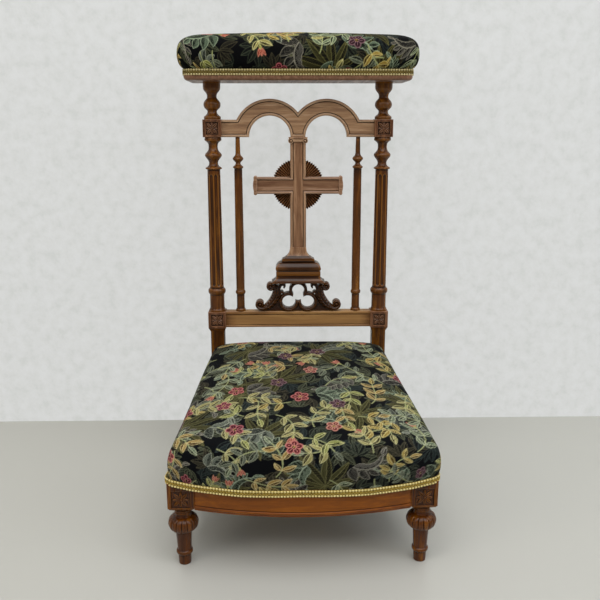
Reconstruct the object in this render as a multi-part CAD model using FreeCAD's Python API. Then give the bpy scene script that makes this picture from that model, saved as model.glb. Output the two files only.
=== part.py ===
import FreeCAD, Part
import math
import os

from FreeCAD import Vector

# A French church kneeling chair of turned and carved walnut, in millimetres.
# +X is the right of someone who kneels facing the back, and +Y points to the back.
# +Z is up, and the floor is at zero.

# Overall sizes
overall_height = 920.0
leg_spacing = 418.0
post_spacing = 352.0
seat_run = 398.0
back_rake_degrees = 1.5
fit = 0.15
overrun = 2.0
full_turn = 360
quarter_turn = 90

# Seat frame
frame_top = 166.0
rail_height = 52.0
rail_thickness = 24.0
rail_recess = 2.0
rail_bow = 25.0
tenon_thickness = 9.0
tenon_height = 34.0
tenon_length = 12.0

# Front legs
leg_block = 46.0
leg_block_height = 48.0
leg_shoulder_height = 7.0
leg_shoulder_square = 31.0
leg_neck_radius = 15.0
leg_neck_height = 16.5
melon_radius = 26.4
melon_height = 27.0
melon_lobes = 16
lobe_groove_depth = 2.4
cone_top_radius = 14.2
cone_foot_radius = 12.3
ankle_ring_radius = 14.6
ankle_ring_height = 8.0
foot_height = 20.0
foot_radius = 11.0

# Back posts
stile_square = 29.5
post_block = 38.0
post_block_height = 35.5
post_bead_radius = 17.6
column_top_radius = 13.4
column_foot_radius = 14.6
vase_length = 66.5
base_length = 54.7
flute_count = 8
flute_depth = 1.9
flute_arris = 2.6
post_tenon_radius = 9.0
post_tenon_length = 9.0
back_leg_kick = 34.0
back_leg_foot = 24.0
chamfer_height = 8.0

# Back rails
back_rail_thickness = 20.0
lower_rail_top = 350.3
crest_drop = 109.5
crest_end_height = 35.0
rail_bead = 6.5
panel_depth = 1.6
arch_spread = 58.3
arch_inner_radius = 43.0
arch_outer_radius = 76.5

# Sunk squares on the blocks, with their rosettes
post_panel = 27.0
leg_panel = 34.0
rosette_petals = 8
rosette_proud = 1.2

# Spindles
spindle_spacing = 250.0
spindle_bead_radius = 11.1
spindle_tenon_radius = 4.0
spindle_tenon_length = 12.0

# Cross
cross_thickness = 14.0
cross_shaft = 33.0
cross_arm = 35.0
cross_span = 189.0
cross_arm_drop = 99.0
cross_border = 6.6
capital_height = 10.0
capital_width = 39.0
capital_volute_radius = 4.6
cross_cap_width = 9.0
cross_cap_height = 40.0
cross_cap_proud = 2.0
cross_base_height = 26.0
cross_base_width = 68.0

# Disc of rays behind the cross
halo_radius = 54.0
halo_thickness = 6.0
halo_rays = 64
ray_depth = 2.2
ray_tooth = 3.0
halo_hub_radius = 12.0

# Stepped plinth under the cross
plinth_height = 46.5
plinth_half_width = 47.4
plinth_front = 24.0
plinth_tenon_width = 22.0
plinth_tenon_height = 14.0
plinth_tenon_thickness = 7.0

# Scrolled bracket with its trefoil
bracket_foot_half = 84.0
bracket_head_half = 58.0
upper_volute_radius = 9.3
upper_volute_x = 59.8
upper_volute_rise = 56.5
lower_volute_radius = 10.6
lower_volute_x = 82.5
hollow_radius = 25.0
hollow_x = 84.0
hollow_rise = 41.0
foil_radius = 13.3
foil_band = 7.2
foil_top_rise = 46.0
foil_side_x = 20.6
foil_centre_radius = 9.5
foil_centre_rise = 29.0
foil_proud = 1.8
spandrel_half = 50.0
spandrel_foot_half = 36.0
spandrel_rise = 34.0
splat_dowel_radius = 3.0
splat_dowel_reach = 10.0
crown_dowel_radius = 2.5
crown_dowel_reach = 5.5
foot_dowel_x = 60.0

# Armrest
arm_board_length = 450.0
arm_board_depth = 128.0
arm_board_thickness = 12.5
arm_board_corner = 14.0
arm_board_chamfer = 4.5
arm_shift = 6.0
arm_pad_overhang = 10.0
arm_pad_height = 77.5
arm_pad_corner = 38.0

# Upholstery
cover_thickness = 1.4
gimp_height = 13.5
gimp_thickness = 2.4
seat_crown_front = 76.0
seat_crown_rear = 124.0
seat_swell = 3.0
seat_corner_radius = 16.0
seat_cover_drop = 12.0
bow_steps = 5
corner_steps = 4
webbing_width = 50.0
webbing_thickness = 1.2
webbing_gap = 0.3
webbing_rows = 4
hessian_thickness = 0.8

# Corner braces
brace_leg = 62.0
brace_height = 34.0
brace_drop = 9.0

# Turned outlines, as shares of a stretch's length and of its largest radius
cup_shares = [
    ("start", 0.97, 0.0), ("line", 0.56, 0.17), ("line", 0.56, 0.28),
    ("line", 1.0, 0.395), ("line", 0.56, 0.52), ("line", 0.56, 0.61), ("line", 1.0, 0.835), ("line", 1.0, 1.0)]
vase_shares = [
    ("start", 0.96, 0.0), ("line", 0.53, 0.20), ("line", 1.0, 0.45),
    ("line", 0.55, 0.66), ("line", 0.55, 0.80), ("line", 1.0, 0.925), ("line", 1.0, 1.0)]
base_shares = [
    ("start", 1.0, 0.0), ("line", 1.0, 0.08), ("line", 0.88, 0.12), ("line", 0.88, 0.73),
    ("line", 1.07, 0.83), ("line", 0.84, 1.0)]
spindle_shares = [
    ("start", 0.78, 0.0), ("line", 0.78, 0.108), ("line", 0.95, 0.118), ("line", 0.78, 0.13),
    ("line", 0.78, 0.82), ("line", 0.97, 0.835), ("line", 0.45, 0.862), ("line", 1.0, 0.882),
    ("line", 0.45, 0.902), ("line", 0.45, 1.0)]
leg_neck_shares = [
    ("start", 0.88, 0.0), ("line", 0.88, 0.45), ("line", 1.0, 0.45), ("line", 1.0, 1.0)]
melon_shares = [(0.0, 0.54), (0.2, 0.9), (0.5, 1.0), (0.8, 0.88), (1.0, 0.49)]
lobe_shares = [(0.0, 0.0), (0.27, 0.9), (0.73, 0.9)]
flute_run_shares = [0.0, 0.03, 0.97, 1.0]
flute_end_share = 0.2

# Plinth outline from its foot up, as shares of its height and half width, with the same steps in depth
plinth_shares = [
    ("start", 1.19, 0.0), ("line", 1.18, 0.03), ("arc", 1.02, 0.09, 0.975, 0.22), ("line", 0.975, 0.33),
    ("line", 1.0, 0.34), ("line", 1.0, 0.49), ("line", 0.97, 0.50), ("line", 0.97, 0.53),
    ("arc", 1.0, 0.70, 0.80, 0.88), ("line", 0.80, 0.92), ("line", 0.72, 0.93), ("line", 0.72, 1.0)]

# Sides of the cushions, as shares of their height and of how far they swell
seat_side_shares = [(0.0, 0.0), (0.2, 1.0), (0.45, 0.7), (0.64, -0.45), (0.8, -1.6), (0.9, -3.3), (0.955, -6.0),
                    (0.985, -11.5), (1.0, -30.0)]
arm_side_shares = [(0.0, 0.0), (0.17, 0.1), (0.32, 0.75), (0.5, 1.0), (0.68, 0.7), (0.82, -0.4), (0.92, -2.0),
                   (0.975, -3.7), (1.0, -5.4)]
petal_shares = [(0.0, 0.0), (0.3, 1.0), (0.7, 1.0)]
petal_reach_share = 0.42
half_share = 0.5
petal_notch_share = 0.2
plinth_depth_share = 0.8
cross_base_shares = [
    ("start", 1.0, 0.0), ("line", 1.0, 0.12), ("line", 0.5, 0.35), ("arc", 0.17, 0.575, 0.0, 1.0)]

# Places worked out from the sizes above
arm_under = overall_height - arm_pad_height - arm_board_thickness
crest_under = arm_under - crest_drop
cross_arm_centre = crest_under - cross_arm_drop
crest_block_foot = crest_under
crest_block_top = crest_block_foot + post_block_height
lower_block_foot = lower_rail_top - post_block_height
column_foot = lower_rail_top + base_length
column_top = crest_block_foot - vase_length
leg_half = leg_block / 2
stile_half = stile_square / 2
half_legs = leg_spacing / 2
half_posts = post_spacing / 2
rail_foot = frame_top - rail_height
frame_front = leg_half + rail_bow
rake = math.radians(back_rake_degrees)
arm_reach = arm_board_depth / 2 + arm_pad_overhang - arm_shift
back_reach = seat_run + (overall_height - frame_top) * math.sin(rake) + arm_reach
front_reach = frame_front + cover_thickness + gimp_thickness
leg_y = (front_reach - back_reach) / 2
post_y = leg_y + seat_run
x_axis = Vector(1, 0, 0)
y_axis = Vector(0, 1, 0)
z_axis = Vector(0, 0, 1)


def box(x_low, x_high, y_low, y_high, z_low, z_high):
    corner = Vector(x_low, y_low, z_low)
    return Part.makeBox(x_high - x_low, y_high - y_low, z_high - z_low, corner)


def centred_box(width, depth, z_low, z_high, x=0, y=0):
    return box(x - width / 2, x + width / 2, y - depth / 2, y + depth / 2, z_low, z_high)


def mirrored(shape):
    return shape.mirror(Vector(0, 0, 0), x_axis)


def moved(shape, x, y, z):
    copy = shape.copy()
    copy.translate(Vector(x, y, z))
    return copy


def lean(shape):
    """Carry a piece of the upright back to the rear of the seat and tip it to the rake."""
    copy = moved(shape, 0, post_y, 0)
    copy.rotate(Vector(0, post_y, frame_top), x_axis, -back_rake_degrees)
    return copy


def joined(shapes):
    return shapes[0].fuse(shapes[1:]).removeSplitter()


def wire_of(points):
    return Part.makePolygon(points + [points[0]])


def prism(points, reach):
    return Part.Face(wire_of(points)).extrude(reach)


def banded(rings):
    """A solid through rings of points that match one for one: a flat face for each strip and each end."""
    faces = [Part.Face(wire_of(rings[0])), Part.Face(wire_of(rings[-1]))]
    for low, high in zip(rings, rings[1:]):
        for i, point in enumerate(low):
            j = (i + 1) % len(low)
            faces.append(Part.Face(wire_of([point, low[j], high[j], high[i]])))
    solid = Part.Solid(Part.makeShell(faces))
    if solid.Volume < 0:
        solid.reverse()
    return solid


def draped(rings):
    """A solid through rings of points that match one for one, with two triangles for each step of a strip."""
    faces = [Part.Face(wire_of(rings[0])), Part.Face(wire_of(rings[-1]))]
    for low, high in zip(rings, rings[1:]):
        for i, point in enumerate(low):
            j = (i + 1) % len(low)
            faces.append(Part.Face(wire_of([point, low[j], high[j]])))
            faces.append(Part.Face(wire_of([point, high[j], high[i]])))
    solid = Part.Solid(Part.makeShell(faces))
    if solid.Volume < 0:
        solid.reverse()
    return solid


def outline_face(shares, place, axis_place):
    """A flat face from an outline whose steps are shares, closed along the straight line at axis_place.

    place turns a pair of shares into a point, and axis_place moves a point sideways to that line.
    """
    here = place(shares[0][1], shares[0][2])
    first = here
    edges = []
    for step in shares[1:]:
        there = place(step[-2], step[-1])
        if step[0] == "arc":
            edges.append(Part.Arc(here, place(step[1], step[2]), there).toShape())
        else:
            edges.append(Part.makeLine(here, there))
        here = there
    head = axis_place(here)
    foot = axis_place(first)
    edges += [Part.makeLine(here, head), Part.makeLine(head, foot), Part.makeLine(foot, first)]
    return Part.Face(Part.Wire(edges))


def on_axis(point):
    return Vector(0, 0, point.z)


def turned(z_low, length, radius, shares):
    """A turned stretch of wood about the Z axis."""
    def place(radius_share, length_share):
        return Vector(radius * radius_share, 0, z_low + length * length_share)
    return outline_face(shares, place, on_axis).revolve(Vector(0, 0, 0), z_axis, full_turn)


def rounded_plate(half_length, half_depth, corner, z, thickness):
    plate = box(-half_length, half_length, -half_depth, half_depth, z, z + thickness)
    uprights = [edge for edge in plate.Edges if abs(edge.tangentAt(edge.FirstParameter).z) > half_share]
    return plate.makeFillet(corner, uprights)


def rosette(centre_x, centre_z, face_y, panel):
    """A flower of blunt petals that stands in a sunk square on a block's front."""
    outline = lobed_ring(0, panel * petal_reach_share, panel * petal_notch_share,
                         rosette_petals, petal_shares)
    flower = prism(outline, Vector(0, 0, rosette_proud))
    flower.rotate(Vector(0, 0, 0), x_axis, quarter_turn)
    return moved(flower, centre_x, face_y + panel_depth, centre_z)


def sunk_square(x, z_low, height, panel, face_y):
    """The recess cut in a block's front, and the rosette left standing in it."""
    middle = z_low + height / 2
    recess = box(x - panel / 2, x + panel / 2, face_y - overrun, face_y + panel_depth,
                 middle - panel / 2, middle + panel / 2)
    return recess, rosette(x, middle, face_y, panel)


def rail_tenon(start, end, height_low, sideways=False, loose=0):
    """A tenon along Y, or along X when sideways, from start to end; loose widens it into its mortise."""
    half = tenon_thickness / 2 + loose
    low = height_low - loose
    high = height_low + tenon_height + loose
    if sideways:
        return box(start, end, -half, half, low, high)
    return box(-half, half, start, end, low, high)


tenon_foot = rail_foot + (rail_height - tenon_height) / 2
rear_tenon_shift = stile_half - rail_thickness / 2 + tenon_thickness / 4
side_tenon_x = half_posts
front_rail_end = half_legs - leg_half
front_tenon_y = leg_y - leg_half + rail_recess + rail_thickness / 2


def front_rail_tenon(loose=0):
    tenon = rail_tenon(front_rail_end - overrun, front_rail_end + tenon_length + loose,
                       tenon_foot, True, loose)
    return moved(tenon, 0, front_tenon_y, 0)


def side_front_tenon(loose=0):
    start = leg_y + leg_half
    tenon = rail_tenon(start - tenon_length - loose, start + overrun, tenon_foot, False, loose)
    return moved(tenon, half_legs, 0, 0)


def side_rear_tenon(loose=0):
    start = post_y - stile_half
    tenon = rail_tenon(start - overrun, start + tenon_length + loose, tenon_foot, False, loose)
    return moved(tenon, side_tenon_x, 0, 0)


def rear_rail_tenon(loose=0):
    start = half_posts - stile_half
    tenon = rail_tenon(start - overrun, start + tenon_length - fit + loose, tenon_foot, True, loose)
    return moved(tenon, 0, post_y + rear_tenon_shift, 0)


def lobed_ring(z, radius, depth, count, steps):
    """Points of a level outline of count lobes, each drawn by shares of its width and of its swell."""
    points = []
    for index in range(count):
        for turn_share, swell_share in steps:
            angle = 2 * math.pi * (index + turn_share) / count
            reach = radius - depth * (1 - swell_share)
            points.append(Vector(reach * math.cos(angle), reach * math.sin(angle), z))
    return points


def melon(z_low):
    """A flattened ball of lobes, banded through lobed outlines."""
    rings = []
    for height_share, radius_share in melon_shares:
        rings.append(lobed_ring(z_low + melon_height * height_share, melon_radius * radius_share,
                                lobe_groove_depth * radius_share, melon_lobes, lobe_shares))
    return banded(rings)


def front_leg():
    """The left or right front leg about its own axis: carved block, melon, cone, ankle ring and foot."""
    block_foot = frame_top - leg_block_height
    shoulder_foot = block_foot - leg_shoulder_height
    neck_foot = shoulder_foot - leg_neck_height
    melon_foot = neck_foot - melon_height
    ring_foot = foot_height
    cone_foot = ring_foot + ankle_ring_height
    block = centred_box(leg_block, leg_block, block_foot, frame_top)
    shoulder = banded([square(leg_block, block_foot), square(leg_shoulder_square, shoulder_foot)])
    neck = turned(neck_foot, leg_neck_height, leg_neck_radius, leg_neck_shares)
    cone = Part.makeCone(cone_foot_radius, cone_top_radius, melon_foot - cone_foot, Vector(0, 0, cone_foot))
    ring = Part.makeCylinder(ankle_ring_radius, ankle_ring_height, Vector(0, 0, ring_foot))
    foot = Part.makeCylinder(foot_radius, foot_height)
    leg = joined([block, shoulder, neck, melon(melon_foot), cone, ring, foot])
    panel_foot = rail_foot + leg_shoulder_height / 2
    recess, flower = sunk_square(0, panel_foot, leg_panel, leg_panel, -leg_half)
    return leg.cut(recess).fuse(flower)


def square(side, z):
    half = side / 2
    return [Vector(-half, -half, z), Vector(half, -half, z), Vector(half, half, z), Vector(-half, half, z)]


def placed_front_leg():
    leg = moved(front_leg(), half_legs, leg_y, 0)
    return leg.cut([front_rail_tenon(fit), side_front_tenon(fit)])


def stile_slab():
    """The sawn part of a back post: upright past the rails, raked above and kicked back below."""
    top = lower_block_foot - chamfer_height - frame_top
    top_y = top * math.sin(rake)
    top_z = frame_top + top * math.cos(rake)
    half_y = stile_half * math.cos(rake)
    half_z = stile_half * math.sin(rake)
    profile = [
        Vector(0, back_leg_kick - back_leg_foot / 2, 0),
        Vector(0, back_leg_kick + back_leg_foot / 2, 0),
        Vector(0, stile_half, rail_foot),
        Vector(0, stile_half, frame_top),
        Vector(0, top_y + half_y, top_z - half_z),
        Vector(0, top_y - half_y, top_z + half_z),
        Vector(0, -stile_half, frame_top),
        Vector(0, -stile_half, rail_foot)]
    slab = prism(profile, Vector(stile_square, 0, 0))
    slab = moved(slab, -stile_half, 0, 0)
    inset = (stile_square - back_leg_foot) / 2
    wedge = [Vector(stile_half, 0, rail_foot), Vector(stile_half - inset, 0, 0), Vector(stile_half, 0, 0)]
    outer = moved(prism(wedge, Vector(0, post_spacing, 0)), 0, -half_posts, 0)
    return slab.cut([outer, mirrored(outer)])


def fluted_wire(z, radius, depth):
    """A level outline of a column: round-bottomed flutes parted by flat arrises."""
    half_arris = flute_arris / 2 / radius
    edges = []
    for index in range(flute_count):
        middle = 2 * math.pi * (index + half_share) / flute_count
        half_flute = math.pi / flute_count - half_arris
        angles = [middle - half_flute, middle, middle + half_flute, middle + half_flute + half_arris * 2]
        reaches = [radius, radius - depth, radius, radius]
        a, b, c, d = [Vector(r * math.cos(t), r * math.sin(t), z) for r, t in zip(reaches, angles)]
        edges += [Part.Arc(a, b, c).toShape(), Part.makeLine(c, d)]
    return Part.Wire(edges)


def fluted_column():
    """The post's tapering column, whose flutes deepen in short slopes from both ends."""
    run = column_top - column_foot
    swell = column_foot_radius - column_top_radius
    sections = []
    for run_share in flute_run_shares:
        end = run_share in (0.0, 1.0)
        depth = flute_depth * flute_end_share if end else flute_depth
        radius = column_foot_radius - swell * run_share
        sections.append(fluted_wire(column_foot + run * run_share, radius, depth))
    return Part.makeLoft(sections, True, True)


def back_tenon(z_low, z_high, loose=0):
    """The tenon of a back rail in the side of a post's block, at the back's own upright stance."""
    start = half_posts - post_block / 2
    half = tenon_thickness / 2 + loose
    margin = (z_high - z_low) / 5
    return box(start - overrun, start + tenon_length + loose, -half, half,
               z_low + margin - loose, z_high - margin + loose)


def post_turning():
    """The turned and square parts of a back post above the seat, upright about its own axis."""
    crest_block = centred_box(post_block, post_block, crest_block_foot, crest_block_top)
    lower_block = centred_box(post_block, post_block, lower_block_foot, lower_rail_top)
    chamfer = banded([square(post_block, lower_block_foot),
                      square(stile_square, lower_block_foot - chamfer_height)])
    cup = turned(crest_block_top, arm_under - crest_block_top, post_bead_radius, cup_shares)
    vase = turned(column_top, vase_length, post_bead_radius, vase_shares)
    column = fluted_column()
    base = turned(lower_rail_top, base_length, post_bead_radius, base_shares)
    tenon = Part.makeCylinder(post_tenon_radius, post_tenon_length + overrun,
                              Vector(0, 0, arm_under - overrun))
    post = joined([lower_block, chamfer, base, column, vase, crest_block, cup, tenon])
    for block_foot in (crest_block_foot, lower_block_foot):
        recess, flower = sunk_square(0, block_foot, post_block_height, post_panel, -post_block / 2)
        post = post.cut(recess).fuse(flower)
    return post


def rear_stile():
    upper = moved(post_turning(), half_posts, 0, 0)
    upper = upper.cut([back_tenon(crest_block_foot, crest_under + crest_end_height, fit),
                       back_tenon(lower_block_foot, lower_rail_top, fit)])
    lower = moved(stile_slab(), half_posts, post_y, 0)
    stile = joined([lower, lean(upper)])
    return stile.cut([side_rear_tenon(fit), rear_rail_tenon(fit)])


def front_seat_rail():
    """The bowed rail: an arc sawn on the outside, flat inside, with a tenon at each end."""
    face = leg_y - leg_half + rail_recess
    inner = face + rail_thickness
    left = Vector(-front_rail_end, face, rail_foot)
    right = Vector(front_rail_end, face, rail_foot)
    bow = Part.Arc(left, Vector(0, leg_y - frame_front, rail_foot), right).toShape()
    back_right = Vector(front_rail_end, inner, rail_foot)
    back_left = Vector(-front_rail_end, inner, rail_foot)
    outline = Part.Wire([bow, Part.makeLine(right, back_right), Part.makeLine(back_right, back_left),
                         Part.makeLine(back_left, left)])
    rail = Part.Face(outline).extrude(Vector(0, 0, rail_height))
    return joined([rail, front_rail_tenon(), mirrored(front_rail_tenon())])


side_front_x = half_legs + leg_half - rail_recess
side_rear_x = half_posts + stile_half


def side_seat_rail():
    front = leg_y + leg_half
    rear = post_y - stile_half
    plan = [Vector(side_front_x, front, rail_foot), Vector(side_rear_x, rear, rail_foot),
            Vector(side_rear_x - rail_thickness, rear, rail_foot),
            Vector(side_front_x - rail_thickness, front, rail_foot)]
    rail = prism(plan, Vector(0, 0, rail_height))
    return joined([rail, side_front_tenon(), side_rear_tenon()])


def rear_seat_rail():
    half = half_posts - stile_half
    rear = post_y + stile_half
    rail = box(-half, half, rear - rail_thickness, rear, rail_foot, frame_top)
    return joined([rail, rear_rail_tenon(), mirrored(rear_rail_tenon())])


brace_top = frame_top - brace_drop
brace_foot = brace_top - brace_height
side_slope = (side_front_x - side_rear_x) / (post_y - stile_half - leg_y - leg_half)


def side_inner_x(y):
    """Inner face of the right side rail at a place along the seat."""
    return side_front_x - rail_thickness - side_slope * (y - leg_y - leg_half)


def brace(corner_y, away):
    """A corner block between an end rail, whose inner face is at corner_y, and the right side rail."""
    far_y = corner_y + away * brace_leg
    near_x = side_inner_x(corner_y)
    plan = [Vector(near_x - brace_leg, corner_y, brace_foot),
            Vector(side_inner_x(far_y), far_y, brace_foot),
            Vector(near_x, corner_y, brace_foot)]
    return prism(plan, Vector(0, 0, brace_height))


front_brace_y = leg_y - leg_half + rail_recess + rail_thickness
rear_brace_y = post_y + stile_half - rail_thickness


def finished_brace(corner_y, away, corner_post):
    return brace(corner_y, away).cut([corner_post])


def corner_clearance(x, y, side):
    reach = side + fit * 2
    return centred_box(reach, reach, rail_foot - overrun, frame_top + overrun, x, y)


def crest_face():
    """Front outline of the crest rail, a straight bar with two round arches, as a flat face."""
    half = half_posts - post_block / 2
    bar = flat_rectangle(-half, half, crest_under, crest_under + crest_end_height)
    bodies = [flat_disc(side * arch_spread, crest_under, arch_outer_radius) for side in (-1, 1)]
    holes = [flat_disc(side * arch_spread, crest_under, arch_inner_radius) for side in (-1, 1)]
    below = flat_rectangle(-half, half, crest_under - arch_outer_radius - overrun, crest_under)
    return bar.fuse(bodies).cut(holes + [below])


def flat_rectangle(x_low, x_high, z_low, z_high):
    corners = [(x_low, z_low), (x_high, z_low), (x_high, z_high), (x_low, z_high)]
    return Part.Face(wire_of([Vector(x, 0, z) for x, z in corners]))


def flat_disc(x, z, radius):
    circle = Part.Circle(Vector(x, 0, z), y_axis, radius)
    return Part.Face(Part.Wire(circle.toShape()))


def board_from(face, y_low, y_high):
    """A board cut to a flat face, between two places in depth."""
    whole = face.copy()
    whole.translate(Vector(0, y_low, 0))
    return joined([part.extrude(Vector(0, y_high - y_low, 0)) for part in whole.Faces])


def spindle_holes():
    return [Part.makeCylinder(spindle_tenon_radius + fit, spindle_tenon_length * 2 + fit * 2,
                              Vector(side * spindle_spacing / 2, 0, z - spindle_tenon_length - fit))
            for side in (-1, 1) for z in (lower_rail_top, crest_under)]


def crest_rail():
    half = back_rail_thickness / 2
    rail = board_from(crest_face(), -half, half)
    tenon = back_tenon(crest_block_foot, crest_under + crest_end_height)
    return joined([rail, tenon, mirrored(tenon)]).cut(spindle_holes() + [top_dowel(fit)])


def lower_back_rail():
    half = back_rail_thickness / 2
    length = half_posts - post_block / 2
    rail = box(-length, length, -half, half, lower_block_foot, lower_rail_top)
    panel = box(-length + rail_bead, length - rail_bead, -half - overrun, -half + panel_depth,
                lower_block_foot + rail_bead, lower_rail_top - rail_bead)
    tenon = back_tenon(lower_block_foot, lower_rail_top)
    return joined([rail, tenon, mirrored(tenon)]).cut([panel] + spindle_holes() + foot_dowels(fit))


def spindle():
    stick = turned(lower_rail_top, crest_under - lower_rail_top, spindle_bead_radius, spindle_shares)
    tenon = Part.makeCylinder(spindle_tenon_radius,
                              crest_under - lower_rail_top + spindle_tenon_length * 2,
                              Vector(0, 0, lower_rail_top - spindle_tenon_length))
    return moved(joined([stick, tenon]), spindle_spacing / 2, 0, 0)


cross_front = -back_rail_thickness / 2
cross_back = cross_front + cross_thickness
plinth_foot = lower_rail_top + upper_volute_rise + upper_volute_radius
plinth_top = plinth_foot + plinth_height
cross_base_top = plinth_top + cross_base_height


def cross_base():
    """The hollow flare and step that widen the shaft on to its plinth."""
    half = cross_shaft / 2

    def place(width_share, height_share):
        return Vector(half + (cross_base_width / 2 - half) * width_share, 0,
                      plinth_top + cross_base_height * height_share)

    face = outline_face(cross_base_shares, place, on_axis)
    right = board_from(face, cross_front - cross_cap_proud, cross_back)
    return joined([right, mirrored(right)])


def cross_outline(inset):
    half_shaft = cross_shaft / 2 - inset
    half_arm = cross_arm / 2 - inset
    top = crest_under - capital_height - inset if inset else crest_under
    low = cross_base_top if inset else plinth_top
    reach = cross_span / 2 - cross_cap_width
    if not inset:
        reach += cross_cap_width / 2
    shaft = flat_rectangle(-half_shaft, half_shaft, low, top)
    arms = flat_rectangle(-reach, reach, cross_arm_centre - half_arm, cross_arm_centre + half_arm)
    return shaft.fuse(arms)


def arm_cap():
    """The moulded end of the right arm: a slightly bowed upright bar with a small roll at each end."""
    roll = cross_cap_width / 3
    outer = cross_span / 2
    inner = outer - cross_cap_width
    high = cross_arm_centre + cross_cap_height / 2
    low = cross_arm_centre - cross_cap_height / 2
    bow = Part.Arc(Vector(outer - roll, 0, low), Vector(outer, 0, cross_arm_centre),
                   Vector(outer - roll, 0, high)).toShape()
    top_left = Vector(inner, 0, high)
    low_left = Vector(inner, 0, low)
    face = Part.Face(Part.Wire([bow, Part.makeLine(Vector(outer - roll, 0, high), top_left),
                                Part.makeLine(top_left, low_left),
                                Part.makeLine(low_left, Vector(outer - roll, 0, low))]))
    front = cross_front - cross_cap_proud
    bar = board_from(face, front, cross_back)
    rolls = [board_from(flat_disc(inner + roll, z, roll), front, cross_back)
             for z in (low + roll, high - roll)]
    return joined([bar] + rolls)


def capital():
    half = capital_width / 2 - capital_volute_radius
    low = crest_under - capital_height + capital_volute_radius
    high = crest_under - capital_volute_radius - fit
    front = cross_front - cross_cap_proud
    bar = box(-half, half, front, cross_back, low, crest_under)
    rolls = [board_from(flat_disc(side * half, high, capital_volute_radius), front, cross_back)
             for side in (-1, 1)]
    return [bar] + rolls


def plinth_tenon(loose=0):
    half = plinth_tenon_width / 2 + loose
    depth = plinth_tenon_thickness / 2 + loose
    middle = (cross_front + cross_back) / 2
    return box(-half, half, middle - depth, middle + depth,
               plinth_top - plinth_tenon_height - loose, plinth_top + overrun)


def top_dowel(loose=0):
    reach = splat_dowel_reach * 2 + loose * 2
    start = Vector(0, (cross_front + cross_back) / 2, crest_under - splat_dowel_reach - loose)
    return Part.makeCylinder(splat_dowel_radius + loose, reach, start)


def crown_dowel(loose=0):
    reach = crown_dowel_reach * 2 + loose * 2
    start = Vector(0, 0, plinth_foot - crown_dowel_reach - loose)
    return Part.makeCylinder(crown_dowel_radius + loose, reach, start)


def foot_dowels(loose=0):
    reach = splat_dowel_reach * 2 + loose * 2
    return [Part.makeCylinder(splat_dowel_radius + loose, reach,
                              Vector(side * foot_dowel_x, 0, lower_rail_top - splat_dowel_reach - loose))
            for side in (-1, 1)]


def cross():
    body = board_from(cross_outline(0), cross_front, cross_back)
    panel = board_from(cross_outline(cross_border), cross_front - overrun * 2, cross_front + panel_depth)
    body = body.cut(panel)
    cap = arm_cap()
    whole = joined([body, cap, mirrored(cap), cross_base(), plinth_tenon()] + capital())
    return whole.cut([top_dowel(fit)])


def halo_disc():
    """A disc whose front is pleated, outside a flat hub, into rays that end in teeth."""
    front = cross_back
    back = front + halo_thickness
    half_turn = math.pi / halo_rays
    count = halo_rays * 2

    def ring(radius_of, y_of):
        return [Vector(radius_of(i) * math.sin(half_turn * i), y_of(i),
                       cross_arm_centre + radius_of(i) * math.cos(half_turn * i)) for i in range(count)]

    hub = ring(lambda i: halo_hub_radius, lambda i: front)
    rim_front = ring(lambda i: halo_radius - ray_tooth * (i % 2), lambda i: front + ray_depth * (i % 2))
    rim_back = ring(lambda i: halo_radius - ray_tooth * (i % 2), lambda i: back)
    faces = [Part.Face(wire_of(rim_back)), Part.Face(wire_of(hub))]
    for i in range(count):
        j = (i + 1) % count
        strips = [(hub[i], rim_front[i], rim_front[j]), (hub[i], rim_front[j], hub[j]),
                  (rim_front[i], rim_back[i], rim_back[j]), (rim_front[i], rim_back[j], rim_front[j])]
        faces += [Part.Face(wire_of(list(corners))) for corners in strips]
    disc = Part.Solid(Part.makeShell(faces))
    if disc.Volume < 0:
        disc.reverse()
    return disc


def splat_plinth():
    """The stepped plinth: its outline cut across the width and again across the depth, so it is mitred."""
    back = back_rail_thickness / 2
    depth = plinth_front + back

    def wide(width_share, height_share):
        return Vector(plinth_half_width * width_share, 0, plinth_foot + plinth_height * height_share)

    def deep(width_share, height_share):
        step = plinth_half_width * (1 - width_share) * plinth_depth_share
        return Vector(0, -plinth_front + step, plinth_foot + plinth_height * height_share)

    def at_back(point):
        return Vector(0, back, point.z)

    half = board_from(outline_face(plinth_shares, wide, on_axis), -depth * 2, back)
    across = joined([half, mirrored(half)])
    side = outline_face(plinth_shares, deep, at_back).extrude(Vector(post_spacing, 0, 0))
    plinth = across.common(moved(side, -half_posts, 0, 0))
    return plinth.cut([plinth_tenon(fit), crown_dowel(fit)])


def trefoil(radius):
    """Three discs round a middle one, drawn in the XZ plane."""
    low = lower_rail_top + foil_radius + foil_band - fit
    places = [(0, lower_rail_top + foil_top_rise), (-foil_side_x, low), (foil_side_x, low)]
    return [flat_disc(x, z, radius) for x, z in places]


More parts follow.
